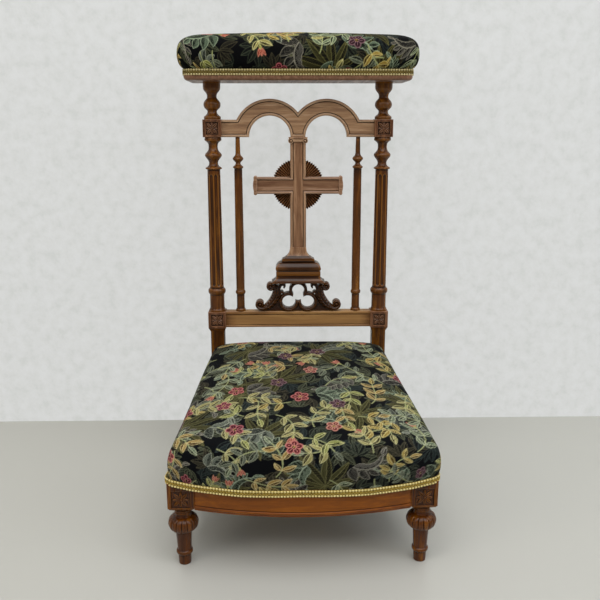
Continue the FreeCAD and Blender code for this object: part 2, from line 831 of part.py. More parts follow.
def scroll_bracket():
    """The bracket that carries the plinth: side scrolls, a trefoil and two pierced corners."""
    half = back_rail_thickness / 2
    blank = Part.Face(wire_of([
        Vector(-bracket_foot_half, 0, lower_rail_top), Vector(bracket_foot_half, 0, lower_rail_top),
        Vector(bracket_foot_half, 0, lower_rail_top + lower_volute_radius),
        Vector(bracket_head_half, 0, plinth_foot), Vector(-bracket_head_half, 0, plinth_foot),
        Vector(-bracket_foot_half, 0, lower_rail_top + lower_volute_radius)]))
    hollows = [flat_disc(side * hollow_x, lower_rail_top + hollow_rise, hollow_radius) for side in (-1, 1)]
    rings = trefoil(foil_radius + foil_band)
    corner = Part.Face(wire_of([
        Vector(spandrel_half, 0, plinth_foot), Vector(spandrel_foot_half, 0, lower_rail_top + spandrel_rise),
        Vector(0, 0, lower_rail_top + spandrel_rise), Vector(0, 0, plinth_foot)]))
    corner = corner.cut(rings)
    middle = flat_disc(0, lower_rail_top + foil_centre_rise, foil_centre_radius)
    pierced = [corner, mirrored(corner), middle] + trefoil(foil_radius)
    plate = board_from(blank.cut(hollows + pierced), -half, half)
    volutes = []
    for side in (-1, 1):
        lower = flat_disc(side * lower_volute_x, lower_rail_top + lower_volute_radius, lower_volute_radius)
        upper = flat_disc(side * upper_volute_x, lower_rail_top + upper_volute_rise, upper_volute_radius)
        volutes += [board_from(lower, -half, half), board_from(upper, -half, half)]
    proud_rings = board_from(rings[0].fuse(rings[1:]).cut(trefoil(foil_radius) + [middle]),
                             -half - foil_proud, half)
    bracket = joined([plate, proud_rings] + volutes)
    above = centred_box(post_spacing, back_rail_thickness * 2, plinth_foot, plinth_top)
    return bracket.cut([above, crown_dowel(fit)] + foot_dowels(fit))


arm_board_top = arm_under + arm_board_thickness


def arm_board():
    board = rounded_plate(arm_board_length / 2, arm_board_depth / 2, arm_board_corner, arm_under,
                          arm_board_thickness)
    under = [edge for edge in board.Edges if edge.BoundBox.ZMax < arm_under + fit]
    board = moved(board.makeChamfer(arm_board_chamfer, under), 0, -arm_shift, 0)
    holes = [Part.makeCylinder(post_tenon_radius + fit, post_tenon_length + fit + overrun,
                               Vector(side * half_posts, 0, arm_under - overrun)) for side in (-1, 1)]
    return board.cut(holes)


arm_half_length = arm_board_length / 2 - cover_thickness
arm_half_depth = arm_board_depth / 2 - cover_thickness


def round_corner(x, y, radius, first_quarter):
    """Points round a quarter turn about a corner's centre."""
    angles = [math.pi / 2 * (first_quarter + step / corner_steps) for step in range(corner_steps + 1)]
    return [(x + radius * math.cos(angle), y + radius * math.sin(angle)) for angle in angles]


def arm_ring(grow, z):
    """Points of a level rectangle with round corners, grown from the foot of the arm cushion."""
    half_depth = arm_half_depth + grow
    corner = arm_pad_corner * half_depth / arm_half_depth
    x = arm_half_length + grow - corner
    y = half_depth - corner
    plan = []
    for quarter, (side, end) in enumerate([(1, 1), (-1, 1), (-1, -1), (1, -1)]):
        plan += round_corner(side * x, end * y, corner, quarter)
    return [Vector(px, py - arm_shift, z) for px, py in plan]


def arm_dome(inset):
    """The crowned arm cushion, drawn in by inset at its sides and its top."""
    height = arm_pad_height - inset
    return banded([arm_ring(arm_pad_overhang * swell_share - inset, arm_board_top + height * height_share)
                   for height_share, swell_share in arm_side_shares])


def arm_gimp():
    """The braid round the foot of the arm cushion."""
    band = prism(arm_ring(gimp_thickness, arm_board_top), Vector(0, 0, gimp_height))
    return band.cut([arm_dome(-fit)])


def seat_outline(grow, z):
    """Plan of the upholstery round the seat frame: bowed front, straight splayed sides and straight back."""
    corner = seat_corner_radius
    front_half = half_legs + leg_half + grow
    rear_half = half_posts + stile_half + grow
    front = leg_y - leg_half - grow
    rear = post_y + stile_half + grow
    middle = Vector(0, leg_y - frame_front - grow, z)
    bend = corner * (1 - math.sqrt(half_share))
    edges = []
    for side in (1, -1):
        brow = Vector(side * (front_half - corner), front, z)
        cheek = Vector(side * front_half, front + corner, z)
        heel = Vector(side * rear_half, rear, z)
        turn = Vector(side * (front_half - bend), front + bend, z)
        edges.append((brow, Part.Arc(brow, turn, cheek).toShape(), Part.makeLine(cheek, heel), heel))
    right_brow, right_arc, right_side, right_heel = edges[0]
    left_brow, left_arc, left_side, left_heel = edges[1]
    bow = Part.Arc(left_brow, middle, right_brow).toShape()
    return Part.Wire([bow, right_arc, right_side, Part.makeLine(right_heel, left_heel), left_side, left_arc])


def seat_ring(grow, height_share, inset):
    """Points of the seat's plan, scaled about its middle so that its sides move out by grow.

    They stand at a share of the cushion's height, which climbs from the front to the back.
    """
    brow = half_legs + leg_half - seat_corner_radius
    front = leg_y - leg_half
    rear = post_y + stile_half
    plan = []
    for step in range(bow_steps):
        reach_share = step / bow_steps
        plan.append((brow * reach_share, front - rail_bow * (1 - reach_share * reach_share)))
    plan += round_corner(brow, front + seat_corner_radius, seat_corner_radius, -1)
    plan.append((half_posts + stile_half, rear))
    plan += [(-x, y) for x, y in reversed(plan[1:])]
    middle = (front + rear - rail_bow) / 2
    scale = 1 + grow / (rear - middle)
    climb = (seat_crown_rear - seat_crown_front) / (rear - front)
    ring = []
    for x, y in plan:
        ring_y = middle + (y - middle) * scale
        height = seat_crown_front - inset + climb * (ring_y - front)
        ring.append(Vector(x * scale, ring_y, frame_top + height * height_share))
    return ring


def seat_dome(inset):
    """The crowned seat cushion above the frame, drawn in by inset at its sides and its top."""
    grow = cover_thickness - inset
    return draped([seat_ring(grow + seat_swell * swell_share, height_share, inset)
                   for height_share, swell_share in seat_side_shares])


def stile_notches(loose):
    """What the seat's upholstery leaves free for the two back posts."""
    reach = rail_thickness * 2
    start_x = half_posts - stile_half - loose
    start_y = -stile_half - loose
    notch = box(start_x, half_posts + reach, start_y, reach, rail_foot - overrun, lower_rail_top)
    notch = lean(notch)
    low = box(start_x, half_posts + reach, post_y + start_y, post_y + reach, rail_foot - overrun, frame_top)
    return [notch, low, mirrored(notch), mirrored(low)]


def seat_cover():
    outer = seat_dome(0)
    skirt = Part.Face(seat_outline(cover_thickness, frame_top - seat_cover_drop)).extrude(
        Vector(0, 0, seat_cover_drop))
    inner = seat_dome(cover_thickness)
    hollow = Part.Face(seat_outline(fit, frame_top - seat_cover_drop)).extrude(Vector(0, 0, seat_cover_drop))
    below = moved(inner, 0, 0, -fit)
    return outer.fuse(skirt).cut([hollow, below, inner]).cut(stile_notches(fit))


stuffing_foot = frame_top + webbing_thickness * 2 + webbing_gap * 2 + hessian_thickness


def seat_stuffing():
    inner = seat_dome(cover_thickness + webbing_gap)
    below = box(-leg_spacing, leg_spacing, -seat_run, seat_run, rail_foot, stuffing_foot + webbing_gap)
    return inner.cut([below] + stile_notches(webbing_gap))


def seat_hessian():
    low = stuffing_foot - hessian_thickness
    plate = Part.Face(seat_outline(-rail_recess * 2, low)).extrude(Vector(0, 0, hessian_thickness))
    return plate.cut(stile_notches(webbing_gap))


def seat_webbing(crosswise):
    """One layer of straps across the frame's top, the crosswise ones on the lengthwise ones."""
    straps = []
    front = leg_y + leg_half
    rear = post_y - stile_half
    inner_width = (half_posts - stile_half) * 2
    half_strap = webbing_width / 2
    for index in range(webbing_rows):
        place = (index + half_share) / webbing_rows
        if crosswise:
            y = front + (rear - front) * place
            reach = side_inner_x(y) + rail_thickness / 2
            z = frame_top + webbing_thickness + webbing_gap
            straps.append(box(-reach, reach, y - half_strap, y + half_strap, z, z + webbing_thickness))
        else:
            x = inner_width * (place - half_share)
            straps.append(box(x - half_strap, x + half_strap, front_brace_y - rail_thickness / 2,
                              post_y + stile_half - rail_recess, frame_top, frame_top + webbing_thickness))
    return Part.makeCompound(straps)


def seat_gimp():
    """The braid round the foot of the cover, from one back post round the front to the other, and behind."""
    low = frame_top - seat_cover_drop
    outer = Part.Face(seat_outline(cover_thickness + gimp_thickness, low)).extrude(Vector(0, 0, gimp_height))
    inner = Part.Face(seat_outline(cover_thickness + fit, low)).extrude(Vector(0, 0, gimp_height))
    return outer.cut([inner, seat_dome(-fit)] + stile_notches(fit))


def both(name, shape, pieces):
    pieces[name + "_right"] = shape
    pieces[name + "_left"] = mirrored(shape)


def build():
    pieces = {}
    both("front_leg", placed_front_leg(), pieces)
    both("rear_stile", rear_stile(), pieces)
    both("side_seat_rail", side_seat_rail(), pieces)
    pieces["front_seat_rail"] = front_seat_rail()
    pieces["rear_seat_rail"] = rear_seat_rail()
    leg_corner = corner_clearance(half_legs, leg_y, leg_block)
    post_corner = corner_clearance(half_posts, post_y, stile_square)
    both("corner_brace_front", finished_brace(front_brace_y, 1, leg_corner), pieces)
    both("corner_brace_rear", finished_brace(rear_brace_y, -1, post_corner), pieces)
    pieces["seat_webbing_lengthwise"] = seat_webbing(False)
    pieces["seat_webbing_crosswise"] = seat_webbing(True)
    pieces["seat_hessian"] = seat_hessian()
    pieces["seat_stuffing"] = seat_stuffing()
    pieces["seat_cover"] = seat_cover()
    pieces["seat_gimp"] = seat_gimp()
    pieces["crest_rail"] = lean(crest_rail())
    pieces["lower_back_rail"] = lean(lower_back_rail())
    both("spindle", lean(spindle()), pieces)
    pieces["cross"] = lean(cross())
    pieces["halo_disc"] = lean(halo_disc())
    pieces["splat_plinth"] = lean(splat_plinth())
    pieces["scroll_bracket"] = lean(scroll_bracket())
    pieces["splat_dowels"] = lean(Part.makeCompound([top_dowel(), crown_dowel()] + foot_dowels()))
    pieces["armrest_board"] = lean(arm_board())
    pieces["armrest_stuffing"] = lean(moved(arm_dome(cover_thickness + fit * 2), 0, 0, fit))
    pieces["armrest_cover"] = lean(arm_dome(0).cut(arm_dome(cover_thickness)))
    pieces["armrest_gimp"] = lean(arm_gimp())
    return pieces


def solids_only(shape):
    solids = shape.Solids
    return solids[0] if len(solids) == 1 else Part.makeCompound(solids)


os.makedirs("parts", exist_ok=True)
for node, piece in build().items():
    whole = solids_only(piece)
    print(node, len(whole.Solids), whole.isValid(), round(whole.Volume))
    whole.exportStep("parts/" + node + ".step")
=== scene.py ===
import math

import bpy
import numpy as np
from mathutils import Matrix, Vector
from mathutils.kdtree import KDTree


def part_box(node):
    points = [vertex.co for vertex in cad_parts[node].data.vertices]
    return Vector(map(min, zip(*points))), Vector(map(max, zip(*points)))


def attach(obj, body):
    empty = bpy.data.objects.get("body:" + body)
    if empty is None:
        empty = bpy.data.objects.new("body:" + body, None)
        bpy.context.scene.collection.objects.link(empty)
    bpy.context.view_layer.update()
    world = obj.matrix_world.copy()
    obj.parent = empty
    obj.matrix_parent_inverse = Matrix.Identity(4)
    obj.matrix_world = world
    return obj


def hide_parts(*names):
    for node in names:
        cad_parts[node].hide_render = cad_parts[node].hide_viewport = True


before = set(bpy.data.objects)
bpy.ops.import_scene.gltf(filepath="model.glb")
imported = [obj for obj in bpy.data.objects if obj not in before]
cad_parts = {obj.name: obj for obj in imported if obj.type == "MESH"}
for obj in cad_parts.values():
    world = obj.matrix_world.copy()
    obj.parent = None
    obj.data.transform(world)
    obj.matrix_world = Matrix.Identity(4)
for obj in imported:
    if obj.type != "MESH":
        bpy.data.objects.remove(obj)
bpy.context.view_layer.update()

# A church kneeling chair in dark turned walnut, with verdure tapestry and gold gimp.
# Sizes are real ones in millimetres, and turn to metres where a mesh is made.
# +X is the right of someone who kneels facing the back, and +Y points to the back.
mm = 0.001
full_turn = 2 * math.pi
rake = math.radians(1.5)


def low_high(node):
    low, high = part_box(node)
    return np.array(low) / mm, np.array(high) / mm


def middle(node, axis):
    low, high = low_high(node)
    return (low[axis] + high[axis]) / 2


leg_x = middle("front_leg_right", 0)
leg_y = middle("front_leg_right", 1)
post_x = middle("rear_stile_right", 0)
stile_half = 14.75
post_y = low_high("rear_seat_rail")[1][1] - stile_half
frame_top = low_high("rear_seat_rail")[1][2]
rail_foot = low_high("rear_seat_rail")[0][2]
leg_half = 23.0
block_half = 19
bow_depth = 25.0
lower_rail_top = 350.3
crest_under = 720.5
block_height = 35.5
arm_board_top = 842.5
arm_middle_y = -6.0
cross_back = 4.0
arm_centre = 621.5
plinth_foot = 416.1
plinth_top = 462.6


# Meshes

def lean(points):
    """Tip points of the upright back to its rake, about the post axis at the seat frame's top."""
    x, y, z = np.asarray(points, float).T
    rise = z - frame_top
    return np.column_stack([x, post_y + y * math.cos(rake) + rise * math.sin(rake),
                            frame_top - y * math.sin(rake) + rise * math.cos(rake)])


def leaned(shell):
    return lean(shell[0]), shell[1]


def mirrored(shell):
    points, faces = shell
    return points * [-1, 1, 1], [face[::-1] for face in faces]


def moved(shell, x=0, y=0, z=0):
    return shell[0] + [x, y, z], shell[1]


def facing_out(points, faces):
    """The shell with its faces turned outwards, told by the sign of its volume."""
    volume = 0.0
    for face in faces:
        a = points[face[0]]
        for i in range(1, len(face) - 1):
            volume += np.dot(a, np.cross(points[face[i]], points[face[i + 1]]))
    return (points, faces) if volume > 0 else (points, [face[::-1] for face in faces])


def together(shells):
    points, faces, start = [], [], 0
    for shell_points, shell_faces in shells:
        points.append(shell_points)
        faces += [[i + start for i in face] for face in shell_faces]
        start += len(shell_points)
    return np.vstack(points), faces


def linked(name, data):
    """A new object in the scene."""
    item = bpy.data.objects.new(name, data)
    bpy.context.scene.collection.objects.link(item)
    return item


def make_mesh(name, shell, material, sharp=35.0):
    """A smooth-shaded object at the origin, with edges above the sharp angle kept crisp."""
    points, faces = shell
    mesh = bpy.data.meshes.new(name)
    mesh.from_pydata((points * mm).tolist(), [], [list(face) for face in faces])
    mesh.validate()
    mesh.shade_smooth()
    mesh.set_sharp_from_angle(angle=math.radians(sharp))
    if material:
        mesh.materials.append(material)
    return linked(name, mesh)


def finish_piece(piece, nodes):
    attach(piece, "root")
    for node in nodes:
        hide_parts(node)


def numbers(items, what, width=3, kind=float):
    """A row for each of a mesh's items, such as the places of its vertices."""
    flat = np.zeros(len(items) * width, kind)
    items.foreach_get(what, flat)
    return flat.reshape(-1, width)


def add_wear_and_shade(piece, rounds=2, gain=2.2):
    """Keep on each vertex how far it stands out of its neighbours: hollows near 0, edges near 1; walnut reads
    it as rubbing and old polish and as painted shade and highlight.
    """
    mesh = piece.data
    count = len(mesh.vertices)
    places, normals = numbers(mesh.vertices, "co"), numbers(mesh.vertices, "normal")
    a, b = numbers(mesh.edges, "vertices", 2, int).T
    run = places[b] - places[a]
    run /= np.maximum(np.linalg.norm(run, axis=1), 1e-9)[:, None]
    degree = np.maximum(np.bincount(np.concatenate([a, b]), minlength=count), 1)

    def gathered(from_a, from_b):
        total = np.zeros(count)
        np.add.at(total, a, from_a)
        np.add.at(total, b, from_b)
        return total / degree

    bend = gathered(-(normals[a] * run).sum(1), (normals[b] * run).sum(1))
    for _ in range(rounds):
        bend = (bend + gathered(bend[b], bend[a])) / 2
    wear_and_shade = np.clip(0.5 + bend * gain, 0, 1)
    most_corners = 8
    for polygon in mesh.polygons:
        if len(polygon.vertices) > most_corners:
            wear_and_shade[list(polygon.vertices)] = 0.5
    mesh.attributes.new("wear_and_shade", "FLOAT", "POINT").data.foreach_set("value", wear_and_shade)


def worn_and_shaded_piece(name, shell, material, nodes, rounds=2, gain=2.2, sharp=35.0):
    """A finished wooden piece that stands for its CAD nodes, with the value walnut reads for rubbing and for
    painted shade and highlight.
    """
    piece = make_mesh(name, shell, material, sharp)
    add_wear_and_shade(piece, rounds, gain)
    finish_piece(piece, nodes)
    return piece


def smooth_line(points, steps=6):
    """Points on a smooth line through the given ones; a point given twice is a corner."""
    runs, run = [], [points[0]]
    for before, here in zip(points, points[1:]):
        if here == before:
            runs.append(run)
            run = [here]
        else:
            run.append(here)
    runs.append(run)
    line = []
    for run in runs:
        if len(run) < 3:
            line += [np.array(p, float) for p in run]
            continue
        p = np.array([run[0]] + run + [run[-1]], float)
        for i in range(1, len(p) - 2):
            for t in np.linspace(0, 1, steps, endpoint=False):
                line.append(0.5 * (2 * p[i] + (p[i + 1] - p[i - 1]) * t
                                   + (2 * p[i - 1] - 5 * p[i] + 4 * p[i + 1] - p[i + 2]) * t * t
                                   + (3 * p[i] - p[i - 1] - 3 * p[i + 1] + p[i + 2]) * t ** 3))
        line.append(p[-2])
    kept = [line[0]]
    for point in line[1:]:
        if np.linalg.norm(point - kept[-1]) > 1e-6:
            kept.append(point)
    return np.array(kept)


def grid_faces(rows, columns, closed=False):
    faces = []
    last = columns if closed else columns - 1
    for r in range(rows - 1):
        for c in range(last):
            d = (c + 1) % columns
            faces.append([r * columns + c, r * columns + d, (r + 1) * columns + d, (r + 1) * columns + c])
    return faces


def grid_rim(rows, columns):
    """Indices round the border of a grid, in turn."""
    rim = list(range(columns)) + [r * columns + columns - 1 for r in range(1, rows)]
    rim += [(rows - 1) * columns + c for c in range(columns - 2, -1, -1)]
    return rim + [r * columns for r in range(rows - 2, 0, -1)]


def lofted(rings):
    """A closed shell through rings of as many points each, with a flat face at each end."""
    rings = np.asarray(rings, float)
    rows, columns = rings.shape[:2]
    faces = grid_faces(rows, columns, True)
    faces.append(list(range(columns))[::-1])
    faces.append([(rows - 1) * columns + c for c in range(columns)])
    return facing_out(rings.reshape(-1, 3), faces)


def lathe(profile, segments=64, shape=None):
    """A turned shell about Z through (radius, height) pairs. shape may change the radius round a ring."""
    angle = np.arange(segments) * full_turn / segments
    rings = []
    for radius, height in profile:
        reach = np.full(segments, float(radius))
        if shape:
            reach = shape(reach, height, angle)
        rings.append(np.column_stack([reach * np.cos(angle), reach * np.sin(angle),
                                      np.full(segments, height)]))
    return lofted(rings)


def inset(loop, distance):
    """A loop of (x, z) points moved inwards by a distance, mitred at its corners."""
    loop = np.asarray(loop, float)
    ahead = np.roll(loop, -1, axis=0) - loop
    ahead /= np.linalg.norm(ahead, axis=1)[:, None]
    normal = np.column_stack([-ahead[:, 1], ahead[:, 0]])
    before = np.roll(normal, 1, axis=0)
    share = 1 + (normal * before).sum(1)
    return loop + (normal + before) / share[:, None] * distance


def split_sides(ring, shares):
    """A ring with more points along each of its sides, at shares of the side."""
    ring = np.asarray(ring, float)
    ahead = np.roll(ring, -1, axis=0) - ring
    return np.vstack([ring[i] + ahead[i] * share for i in range(len(ring)) for share in shares])


def split_long(loop, margin=8.0, step=14.0):
    """A loop with points added along its long straight sides, clear of the corners' mitres."""
    points = []
    for here, there in zip(loop, loop[1:] + loop[:1]):
        points.append(here)
        length = math.dist(here, there)
        if length > 2.5 * margin:
            count = max(2, int((length - 2 * margin) / step) + 1)
            for reach in np.linspace(margin, length - margin, count):
                points.append(tuple(np.array(here) + (np.array(there) - here) * reach / length))
    return points


def moulded(loop, front_rings, back, edge=0.8):
    """A board from a loop of (x, z) points that runs anticlockwise seen from the front.

    front_rings are pairs of inset and y, from the edge of the front to its flat middle.
    """
    loop = split_long(list(loop))
    rings = [(edge, back), (0.0, back - edge)] + list(front_rings)
    return lofted([np.insert(inset(loop, step), 1, y, axis=1) for step, y in rings])


def rectangle(x_low, x_high, z_low, z_high):
    return [(x_low, z_low), (x_high, z_low), (x_high, z_high), (x_low, z_high)]


def arc(x, z, radius, start, end, count):
    """Points round a centre, from a start to an end angle in degrees."""
    angles = np.radians(np.linspace(start, end, count))
    return [(x + radius * math.cos(a), z + radius * math.sin(a)) for a in angles]


def bead_rings(front, width=6.2, rise=0.9, quirk=1.6, field=0.9, edge=1.0):
    """Insets and depths of a round bead along an edge, the dark quirk inside it, and the sunk field."""
    rings = [(0.0, front + edge), (0.35, front + edge * 0.25)]
    for step in range(7):
        angle = math.pi * step / 6
        rings.append((edge + (width - edge - 1) * (1 - math.cos(angle)) / 2,
                      front - rise * math.sin(angle)))
    rings += [(width - 0.7, front + quirk), (width + 0.2, front + quirk), (width + 0.8, front + field)]
    return rings


def relief_block(half_x, half_y, z_low, z_high, relief, step=0.6, edge=0.9):
    """A square block whose front carries a carved relief, given as depth by place from its centre."""
    def lines(low, high):
        inner = np.linspace(low + edge, high - edge, int((high - low) / step))
        return np.concatenate([[low, low + edge * 0.3], inner, [high - edge * 0.3, high]])

    xs, zs = lines(-half_x, half_x), lines(z_low, z_high)
    x, z = np.meshgrid(xs, zs)
    gap = np.minimum(half_x - np.abs(x), np.minimum(z - z_low, z_high - z))
    round_off = np.where(gap < edge, edge * (1 - np.sqrt(np.clip(1 - (1 - gap / edge) ** 2, 0, 1))), 0)
    y = -half_y + round_off + relief(x, z - (z_low + z_high) / 2)
    rows, columns = x.shape
    points = np.column_stack([x.ravel(), y.ravel(), z.ravel()])
    faces = grid_faces(rows, columns)
    rim = grid_rim(rows, columns)
    middle_z = (z_low + z_high) / 2
    extra = []
    for depth, shrink in ((half_y - edge, 0), (half_y, edge)):
        ring = points[rim].copy()
        ring[:, 1] = depth
        ring[:, 0] *= (half_x - shrink) / half_x
        ring[:, 2] = middle_z + (ring[:, 2] - middle_z) * (1 - 2 * shrink / (z_high - z_low))
        extra.append(ring)
    start, count = len(points), len(rim)
    points = np.vstack([points] + extra)
    for i in range(count):
        j = (i + 1) % count
        faces.append([rim[j], rim[i], start + i, start + j])
        faces.append([start + j, start + i, start + count + i, start + count + j])
    faces.append([start + count + i for i in range(count)])
    return facing_out(points, faces)


def petal(x, z, angle, start, length, width, height):
    """Height of one carved petal that points away from the middle, with a groove along it."""
    along = (x * math.cos(angle) + z * math.sin(angle) - start) / length
    across = -x * math.sin(angle) + z * math.cos(angle)
    half = width / 2 * np.sin(np.pi * np.clip(along, 0.001, 0.999) ** 0.8) ** 0.75
    share = np.abs(across) / np.maximum(half, 0.01)
    inside = (along > 0) & (along < 1) & (share < 1)
    dome = height * np.sqrt(np.clip(1 - share ** 2, 0, 1))
    groove = 0.55 * height * np.exp(-(across / 0.7) ** 2)
    return np.where(inside, dome - groove, 0)


def sunk_flower(frame_half, sink, broad, narrow, button):
    """Relief of a flower in a sunk square, of four broad petals to its corners and four between them.

    broad and narrow are a petal's start, length, width and height.
    """
    petals = [(45 + 90 * k, *broad) for k in range(4)] + [(90 * k, *narrow) for k in range(4)]

    def relief(x, z):
        out = np.maximum(np.abs(x), np.abs(z))
        depth = sink * np.clip((frame_half - out) / 0.9, 0, 1)
        flower = np.zeros_like(x)
        for angle, start, length, width, height in petals:
            flower = np.maximum(flower, petal(x, z, math.radians(angle), start, length, width, height))
        dot = np.sqrt(np.clip(button ** 2 - x ** 2 - z ** 2, 0, None)) * 0.8
        return depth - np.maximum(flower, dot)
    return relief


post_flower = sunk_flower(13.2, 3.2, (1.2, 13.8, 7.2, 3.0), (2.0, 10.6, 4.2, 2.2), 2.6)
leg_flower = sunk_flower(16.6, 2.4, (2.0, 14.6, 7.0, 2.5), (2.0, 12.6, 5.8, 2.5), 3.0)


def carved_plate(field, height, x_span, z_span, step, back):
    """A pierced, carved board: field is below zero inside its outline, height is its front's depth."""
    xs = np.arange(x_span[0], x_span[1] + step, step)
    zs = np.arange(z_span[0], z_span[1] + step, step)
    gx, gz = np.meshgrid(xs, zs, indexing="ij")
    value = field(gx.ravel(), gz.ravel()).reshape(gx.shape)
    value = np.where(np.abs(value) < 0.06 * step, np.where(value < 0, -0.06, 0.06) * step, value)
    flat, known, faces = [], {}, []

    def corner(i, j):
        key = (i, j)
        if key not in known:
            known[key] = len(flat)
            flat.append((xs[i], zs[j]))
        return known[key]

    def crossing(i, j, k, m):
        key = (i, j, k, m) if (i, j) < (k, m) else (k, m, i, j)
        if key not in known:
            a, b = value[i, j], value[k, m]
            t = a / (a - b)
            known[key] = len(flat)
            flat.append((xs[i] + (xs[k] - xs[i]) * t, zs[j] + (zs[m] - zs[j]) * t))
        return known[key]

    inside = value < 0
    busy = inside[:-1, :-1] | inside[1:, :-1] | inside[:-1, 1:] | inside[1:, 1:]
    for i, j in zip(*np.nonzero(busy)):
        around = [(i, j), (i + 1, j), (i + 1, j + 1), (i, j + 1)]
        face = []
        for n in range(4):
            a, b = around[n], around[(n + 1) % 4]
            if inside[a]:
                face.append(corner(*a))
            if inside[a] != inside[b]:
                face.append(crossing(*a, *b))
        if len(face) > 2:
            faces.append(face)
    flat = np.array(flat)
    count = len(flat)
    front = np.column_stack([flat[:, 0], height(flat[:, 0], flat[:, 1]), flat[:, 1]])
    rear = np.column_stack([flat[:, 0], np.full(count, back), flat[:, 1]])
    used = dict.fromkeys((a, b) for face in faces for a, b in zip(face, face[1:] + face[:1]))
    walls = [[a, a + count, b + count, b] for a, b in used if (b, a) not in used]
    everything = faces + [[i + count for i in face[::-1]] for face in faces] + walls
    return facing_out(np.vstack([front, rear]), everything)


# Colours and materials

def linear(code):
    """Linear colour from an sRGB hex code."""
    values = [int(code[i:i + 2], 16) / 255 for i in (1, 3, 5)]
    return [v / 12.92 if v <= 0.04045 else ((v + 0.055) / 1.055) ** 2.4 for v in values]


def colour(code):
    return (*linear(code), 1.0)


def new_material(name):
    material = bpy.data.materials.new(name)
    material.use_nodes = True
    tree = material.node_tree
    tree.nodes.clear()
    return material, tree


def add(tree, kind, inputs=None, stops=(), **settings):
    """Add a node with its settings and colour stops, and set or link its inputs by name or number.

    A node given as an input is linked by its first output.
    """
    node = tree.nodes.new(kind)
    for name, value in settings.items():
        setattr(node, name, value)
    for name, value in (inputs or {}).items():
        if isinstance(value, bpy.types.Node):
            value = value.outputs[0]
        if isinstance(value, bpy.types.NodeSocket):
            tree.links.new(value, node.inputs[name])
        else:
            node.inputs[name].default_value = value
    if stops:
        elements = node.color_ramp.elements
        while len(elements) < len(stops):
            elements.new(0.5)
        for element, (place, code) in zip(elements, stops):
            element.position, element.color = place, colour(code)
    return node


def map_range(value, start, end, low, high):
    """Inputs of a Map Range node."""
    return {"Value": value, "From Min": start, "From Max": end, "To Min": low, "To Max": high}


def two_colours(factor, first, second):
    """Inputs of a Mix node for colours, whose colour sockets are its seventh and eighth."""
    return {0: factor, 6: first, 7: second}


def walnut(name, along, dark, middle_tone, light, roughness=0.42, edge_wear_and_highlight=0.35):
    """Walnut, French-stained and waxed: brown ribbons along the board, dark pores, hollows darkened as old
    polish and as painted shade, and edges made paler as a rubbed-through finish and as painted highlight."""
    material, tree = new_material(name)
    grain_length_share, ribbon_width, pore_width = 0.07, 9.0, 1.1
    stretched = add(tree, "ShaderNodeMapping", {
        "Vector": add(tree, "ShaderNodeTexCoord").outputs["Object"],
        "Scale": [grain_length_share if axis == along else 1.0 for axis in "XYZ"]})
    ribbons = add(tree, "ShaderNodeTexNoise", {"Vector": stretched, "Scale": 1 / (ribbon_width * mm),
                                               "Detail": 5.0, "Roughness": 0.62, "Distortion": 0.6})
    pores = add(tree, "ShaderNodeTexNoise", {"Vector": stretched, "Scale": 1 / (pore_width * mm),
                                             "Detail": 2.0, "Roughness": 0.5})
    tone = add(tree, "ShaderNodeValToRGB", {"Fac": ribbons},
               [(0.30, dark), (0.52, middle_tone), (0.74, light)])
    pore_mask = add(tree, "ShaderNodeMapRange", map_range(pores, 0.56, 0.72, 0.0, 0.55))
    wear_and_shade = add(tree, "ShaderNodeAttribute", attribute_name="wear_and_shade").outputs["Fac"]
    # Hollows take a painted shade over old polish, and convex edges a painted highlight over the rubbed
    # finish.
    hollow = add(tree, "ShaderNodeMapRange", map_range(wear_and_shade, 0.50, 0.30, 0.0, 0.85))
    edge = add(tree, "ShaderNodeMapRange", map_range(wear_and_shade, 0.54, 0.80, 0.0, edge_wear_and_highlight))
    shaded = tone
    for mask, code in ((pore_mask, dark), (hollow, "#0e0602"), (edge, light)):
        mixed = add(tree, "ShaderNodeMix", two_colours(mask, shaded, colour(code)), data_type="RGBA")
        shaded = mixed.outputs[2]
    shine = add(tree, "ShaderNodeMapRange",
                map_range(ribbons, 0.25, 0.75, roughness + 0.08, roughness - 0.08))
    bump = add(tree, "ShaderNodeBump", {"Height": pores, "Strength": 0.12, "Distance": 0.2 * mm})
    shader = add(tree, "ShaderNodeBsdfPrincipled", {
        "Base Color": shaded, "Roughness": shine, "IOR": 1.5, "Normal": bump,
        "Specular IOR Level": 0.25, "Coat Weight": 0.08, "Coat Roughness": 0.16})
    add(tree, "ShaderNodeOutputMaterial", {"Surface": shader})
    return material


def cloth_material(name, stops, thread, roughness=0.85, height=0.3, sheen=0.15):
    """Woven fibre in one family of colours: threads that cross at right angles, dull and fuzzy."""
    material, tree = new_material(name)
    place = add(tree, "ShaderNodeTexCoord").outputs["Object"]
    tint = add(tree, "ShaderNodeTexNoise", {"Vector": place, "Scale": 1 / (thread * 3 * mm), "Detail": 3.0})
    across, along = (add(tree, "ShaderNodeTexWave", {
        "Vector": place, "Scale": full_turn / 20 / (thread * mm), "Distortion": 0.4, "Detail": 1.0},
        bands_direction=direction).outputs["Fac"] for direction in "XY")
    weave = add(tree, "ShaderNodeMath", {0: across, 1: along}, operation="MULTIPLY")
    tone = add(tree, "ShaderNodeValToRGB", {"Fac": tint}, stops)
    shaded = add(tree, "ShaderNodeMix", two_colours(weave, tone, colour(stops[-1][1])), data_type="RGBA")
    bump = add(tree, "ShaderNodeBump", {"Height": weave, "Strength": 0.6, "Distance": height * mm})
    shader = add(tree, "ShaderNodeBsdfPrincipled", {"Base Color": shaded.outputs[2], "Roughness": roughness,
                                                    "Normal": bump, "Sheen Weight": sheen})
    add(tree, "ShaderNodeOutputMaterial", {"Surface": shader})
    return material


